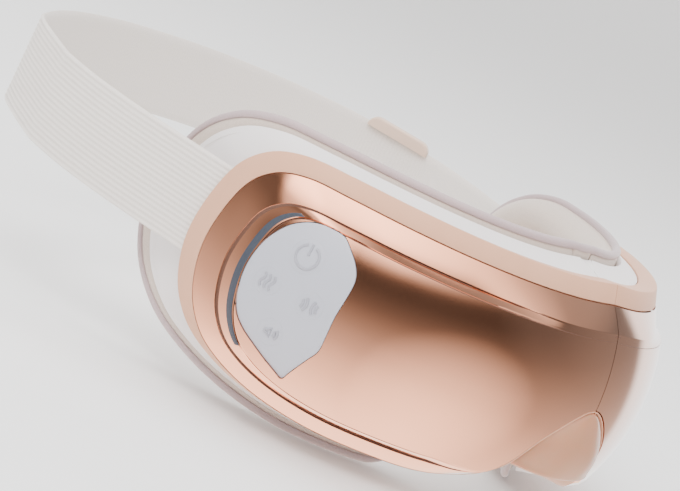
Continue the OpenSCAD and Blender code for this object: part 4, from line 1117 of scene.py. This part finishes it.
def makeSlider():
    # A slide of the strap: a rounded channel with lips over the strap's edges and a bar at each end
    a, b = Vector(slider["from"]), Vector(slider["to"])
    pitch = math.atan((strapHeight(b) - strapHeight(a)) / (b - a).length)
    turn = math.atan2(b.x - a.x, b.y - a.y)
    centre = Vector((*((a + b) / 2), (strapHeight(a) + strapHeight(b)) / 2))
    place = (Matrix.Translation(centre * mm) @ Matrix.Rotation(-turn, 4, "Z") @ Matrix.Rotation(pitch, 4,
                                                                                                "X"))
    wide = strap["thick"] + 2 * slider["fit"] + 1.2 + slider["wall"]
    tall = strap["wide"] + 2 * slider["fit"] + 2 * slider["wall"]
    clear = strap["thick"] + 2 * slider["fit"]

    def block(name, size, at=(0, 0, 0), edge=0.0, corner=0.0):
        bpy.ops.mesh.primitive_cube_add(size=1, scale=[v * mm for v in size], location=[v * mm for v in at])
        made = bpy.context.object
        made.name = name
        bpy.ops.object.transform_apply(location=True, rotation=False, scale=True)
        if corner:
            setMode("EDIT")
            bpy.ops.mesh.select_mode(type="EDGE")
            bpy.ops.mesh.select_all(action="DESELECT")
            setMode("OBJECT")
            for line in made.data.edges:
                p, q = (made.data.vertices[v].co for v in line.vertices)
                line.select = abs(p.x - q.x) > mm
            setMode("EDIT")
            bpy.ops.mesh.bevel(offset=corner * mm, segments=6, affect="EDGES")
            setMode("OBJECT")
        if edge:
            bevelEdges(made, edge, 4, 40)
        made.data.transform(place)
        return made

    body = block("strapSlider", (wide, slider["long"], tall), edge=slider["edge"], corner=slider["corner"])
    cut(body, block("throat", (clear, slider["long"] + 4, strap["wide"] + 2 * slider["fit"] + 0.6)))
    cut(body, block("innerWindow",
                    (2 * slider["wall"], slider["long"] + 4, strap["wide"] - 2 * slider["lip"]),
                    (-slider["wall"], 0, 0)))
    for side in (-1, 1):
        cut(body, block("outerWindow", (2 * slider["wall"], slider["window"][0], slider["window"][1]),
                        (slider["wall"], side * (slider["window"][0] / 2 + 1.5), 0), edge=1.2))
    bevelEdges(body, 0.25, 2, 60)
    return dress(body, bucklePeach, "slider", ["strap_slider"], angle=40)


makeSlider()

# Hoses and cable inside, on the routes of the CAD source

inside = {"hose": 1.25, "cable": 0.9, "sides": 14, "pumpU": 64}
pumpMiddle = shellDepth(Vector((inside["pumpU"], 0)), shell["depth"] - shell["wall"]) - frameRing["fit"] - 6
hoseEnd = shell["depth"] - shell["wall"] + 1
routes = {
    "airHoseLeft": ("air_hose_left", "hose", [
        (64, 18.3, pumpMiddle), (64, 20.3, pumpMiddle), (59, 25.5, 9), (54, 26, 9), (50, 25.8, 10),
                                              (45.4, 25.2, 11.6),
        (44, 25, 13.6), (44, 25, hoseEnd)]),
    "airHoseRight": ("air_hose_right", "hose", [
        (-44, 25, hoseEnd), (-44, 25, 13.6), (-42, 26, 11.6), (-36, 27.6, 12), (-24, 28.8, 12.8),
                                                (-17, 32, 13.6),
        (-10, 34.4, 13.8), (-4, 35, 14), (4, 35, 14), (10, 34.4, 13.8), (17, 32, 13.6), (24, 28.8, 12.6),
                                                (34, 27.6, 10),
        (38, 25.6, 6.5), (44, 23, 5.5)]),
    "hingeCable": ("hinge_cable", "cable", [
        (-44, 20.8, 6.6), (-40, 24, 6.6), (-34, 26.6, 7), (-24, 27.6, 9), (-16, 31.6, 11), (-9, 33.4, 11),
        (-3, 34, 10.8), (3, 34, 10.8), (9, 33.4, 11), (16, 31.6, 11), (24, 26, 8.6), (30, 16, 4),
                                            (37, 4, 3.4),
        (46, -10, 5), (55, -18, 8), (62, -18.6, pumpMiddle)])}


def onWrap(p):
    u, z, d = p
    a, r = u / mask["wrapR"], mask["wrapR"] - d
    return Vector((r * math.sin(a), mask["wrapR"] - r * math.cos(a) - mask["foldY"], z))


def makeRoutes():
    for name, (node, kind, route) in routes.items():
        line = through([onWrap(p) for p in route], 4)
        piece = laidGrid(name, tubeRows(line, inside[kind], inside["sides"]), loop=True, caps=True)
        if node == "air_hose_left":
            dress(piece, greyRubber, "left_half", [node])
        else:
            dress(piece, greyRubber if kind == "hose" else darkPlastic,
                  nodes=[node], between=foldBlend)


makeRoutes()
print("slider, hoses and cable made")

# Materials of the CAD nodes that stay

brass = finish("brassWeight", "grain", (0.60, 0.42, 0.16), (0.66, 0.48, 0.20), (0.25, 0.4), 1600, 0.002,
               Metallic=1.0)
kept = {"steel": (steel, ("hinge_pin", "usb_socket", "vibration_motor_right", "vibration_motor_left",
                          "pump_motor",
                          "valve_body", "strap_bar_right", "strap_bar_left", "hinge_screws_right",
                          "hinge_screws_left", "shell_screws_right", "shell_screws_left", "battery")),
        "white": (housingWhite, ("hinge_leaf_right", "hinge_leaf_left", "pump_head")),
        "board": (boardGreen, ("key_board", "main_board")),
        "dark": (darkPlastic, ("key_switches", "speaker", "valve_plunger")),
        "brass": (brass, ("vibration_weight_right", "vibration_weight_left")),
        "cam": (bucklePeach, ("pump_cam",))}
for material, names in kept.values():
    for name in names:
        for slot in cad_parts[name].material_slots:
            slot.material = material
print("kept nodes dressed")

# Floor and light

floor = {"size": 60, "drop": 0.0005}
lowest = min(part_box(name)[0][2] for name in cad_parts)
bpy.ops.mesh.primitive_plane_add(size=floor["size"], location=(0, 0, lowest - floor["drop"]))
floorPlane = bpy.context.object
floorPlane.name = "floor"
floorPlane.visible_glossy = False  # the metal mirrors the studio's walls instead
floorPaint = finish("paleFloor", "grain", (0.90, 0.90, 0.90), (0.92, 0.92, 0.92), (0.6, 0.7), 40, 0.01)
floorPlane.data.materials.append(floorPaint)

lights = {
    "keyPanel": {"azimuth": -75, "elevation": 48, "far": 1.3, "size": (0.8, 0.6), "power": 15},
    "fillPanel": {"azimuth": 20, "elevation": 35, "far": 1.6, "size": (1.2, 1.0), "power": 7},
    "topPanel": {"azimuth": 180, "elevation": 75, "far": 1.4, "size": (1.2, 1.0), "power": 18}}
for name, light in lights.items():
    axes = turned(light["azimuth"], light["elevation"])
    bpy.ops.object.light_add(type="AREA", location=axes.col[2] * light["far"] + Vector((0, 0.05, 0)),
                             rotation=axes.to_euler())
    lamp = bpy.context.object
    lamp.name = name
    lamp.data.shape = "RECTANGLE"
    lamp.data.size, lamp.data.size_y = light["size"]
    lamp.data.energy = light["power"]
    lamp.visible_glossy = False

# What the metal mirrors: walls that darken with height, a ceiling panel that fades sideways, a soft card low
# in front, and a white backdrop behind the object
room = {"walls": ((-1, 5), (-0.79, 4.5), (-0.61, 3.2), (-0.46, 2.4), (-0.29, 1.45), (-0.1, 0.82), (0, 0.54),
                  (0.09, 0.33),
                  (0.17, 0.23), (0.27, 0.13), (0.37, 0.11), (0.41, 0), (1, 0)),
        "ceiling": ((-1, 0), (0.37, 0), (0.41, 0.8), (0.47, 3.6), (0.56, 6.5), (0.7, 7.5), (0.86, 6.5),
                    (1, 4)),
        "ceilingFade": ((-1, 0.8), (-0.5, 1), (0, 0.55), (0.3, 0.25), (0.6, 0.07), (1, 0.05)),
        "card": (0, -0.92, -0.38), "cardGlow": ((-1, 0), (0.84, 0), (1, 1.5)),
        "side": (0.75, -0.66, 0), "sideShade": ((-1, 1), (0.6, 1), (0.95, 0.85)),
        "glow": (0.8, -0.4, 0.45), "glowEdge": ((-1, 0), (0.6, 0), (0.75, 0.1), (0.85, 0.13), (0.97, 0.25),
                                                (1, 0.25)),
        "panel": (-0.88, -0.12, 0.46),
        "panelGlow": ((-1, 0), (0.94, 0), (0.96, 0.5), (0.97, 1.3), (0.985, 1.8), (1, 1.8)),
        "ceilingBack": ((-1, 1), (0.08, 1), (0.12, 0.5), (0.22, 0.1), (0.5, 0.08), (0.8, 0.5), (1, 0.5)),
        "corner": (-0.85, 0.45, 0.26), "cornerGlow": ((-1, 0), (0.93, 0), (0.98, 0.14), (1, 0.14)),
        "backdrop": (0.88, 0.47, 0), "backdropEdge": ((-1, 0), (0.77, 0), (0.83, 1), (1, 1)),
        "backdropLight": 2.6,
        "tint": (1, 0.78, 0.64), "ambient": 1.35}
world = bpy.data.worlds.new("studio")
bpy.context.scene.world = world
world.use_nodes = True
tree = world.node_tree
backdrop = tree.nodes["Background"]
place = shaderNode(tree, "TexCoord")


def ramp(stops, source, top=8):
    # A grey ramp over a value between -1 and 1
    band = shaderNode(tree, "ValToRGB")
    scaled = shaderNode(tree, "MapRange", {"From Min": -1, "From Max": 1})
    tree.links.new(source, scaled.inputs["Value"])
    tree.links.new(scaled.outputs["Result"], band.inputs["Fac"])
    marks = band.color_ramp.elements
    while len(marks) < len(stops):
        marks.new(0.5)
    for mark, (at, level) in zip(marks, stops):
        mark.position = (at + 1) / 2
        mark.color = (level / top, level / top, level / top, 1)
    return math2(tree, "MULTIPLY", band.outputs["Color"], top)


def toward(direction):
    # How far a direction leans towards a side of the room
    lean = shaderNode(tree, "VectorMath", operation="DOT_PRODUCT")
    tree.links.new(place.outputs["Generated"], lean.inputs[0])
    lean.inputs[1].default_value = direction
    return lean.outputs["Value"]


walls = math2(tree, "MULTIPLY", ramp(room["walls"], toward((0, 0, 1))),
              ramp(room["sideShade"], toward(room["side"])))
ceiling = math2(tree, "MULTIPLY", ramp(room["ceiling"], toward((0, 0, 1))),
                math2(tree, "MULTIPLY", ramp(room["ceilingFade"], toward((1, 0, 0))),
                      ramp(room["ceilingBack"], toward((0, 1, 0)))))
around = math2(tree, "ADD", walls, ceiling)
for lamp in ("card", "panel", "corner"):
    around = math2(tree, "ADD", around, ramp(room[lamp + "Glow"], toward(room[lamp])))
behind = ramp(room["backdropEdge"], toward(room["backdrop"]))
rest = math2(tree, "MULTIPLY", around, math2(tree, "SUBTRACT", 1, behind))
glow = math2(tree, "ADD", math2(tree, "MULTIPLY", behind, room["backdropLight"]),
             ramp(room["glowEdge"], toward(room["glow"])))
lit = math2(tree, "ADD", rest, glow)
mirrored = shaderNode(tree, "LightPath").outputs["Is Glossy Ray"]
plain = math2(tree, "MULTIPLY", math2(tree, "SUBTRACT", 1, mirrored), room["ambient"])
tree.links.new(math2(tree, "ADD", math2(tree, "MULTIPLY", lit, mirrored), plain),
               backdrop.inputs["Strength"])
tone = shaderNode(tree, "Mix", data_type="RGBA")
tree.links.new(math2(tree, "MULTIPLY", mirrored, math2(tree, "DIVIDE", rest, lit)), tone.inputs["Factor"])
colors = [socket for socket in tone.inputs if socket.type == "RGBA"]
colors[0].default_value = (1, 1, 1, 1)
colors[1].default_value = (*room["tint"], 1)
tree.links.new([socket for socket in tone.outputs if socket.type == "RGBA"][0], backdrop.inputs["Color"])
print("stage set")
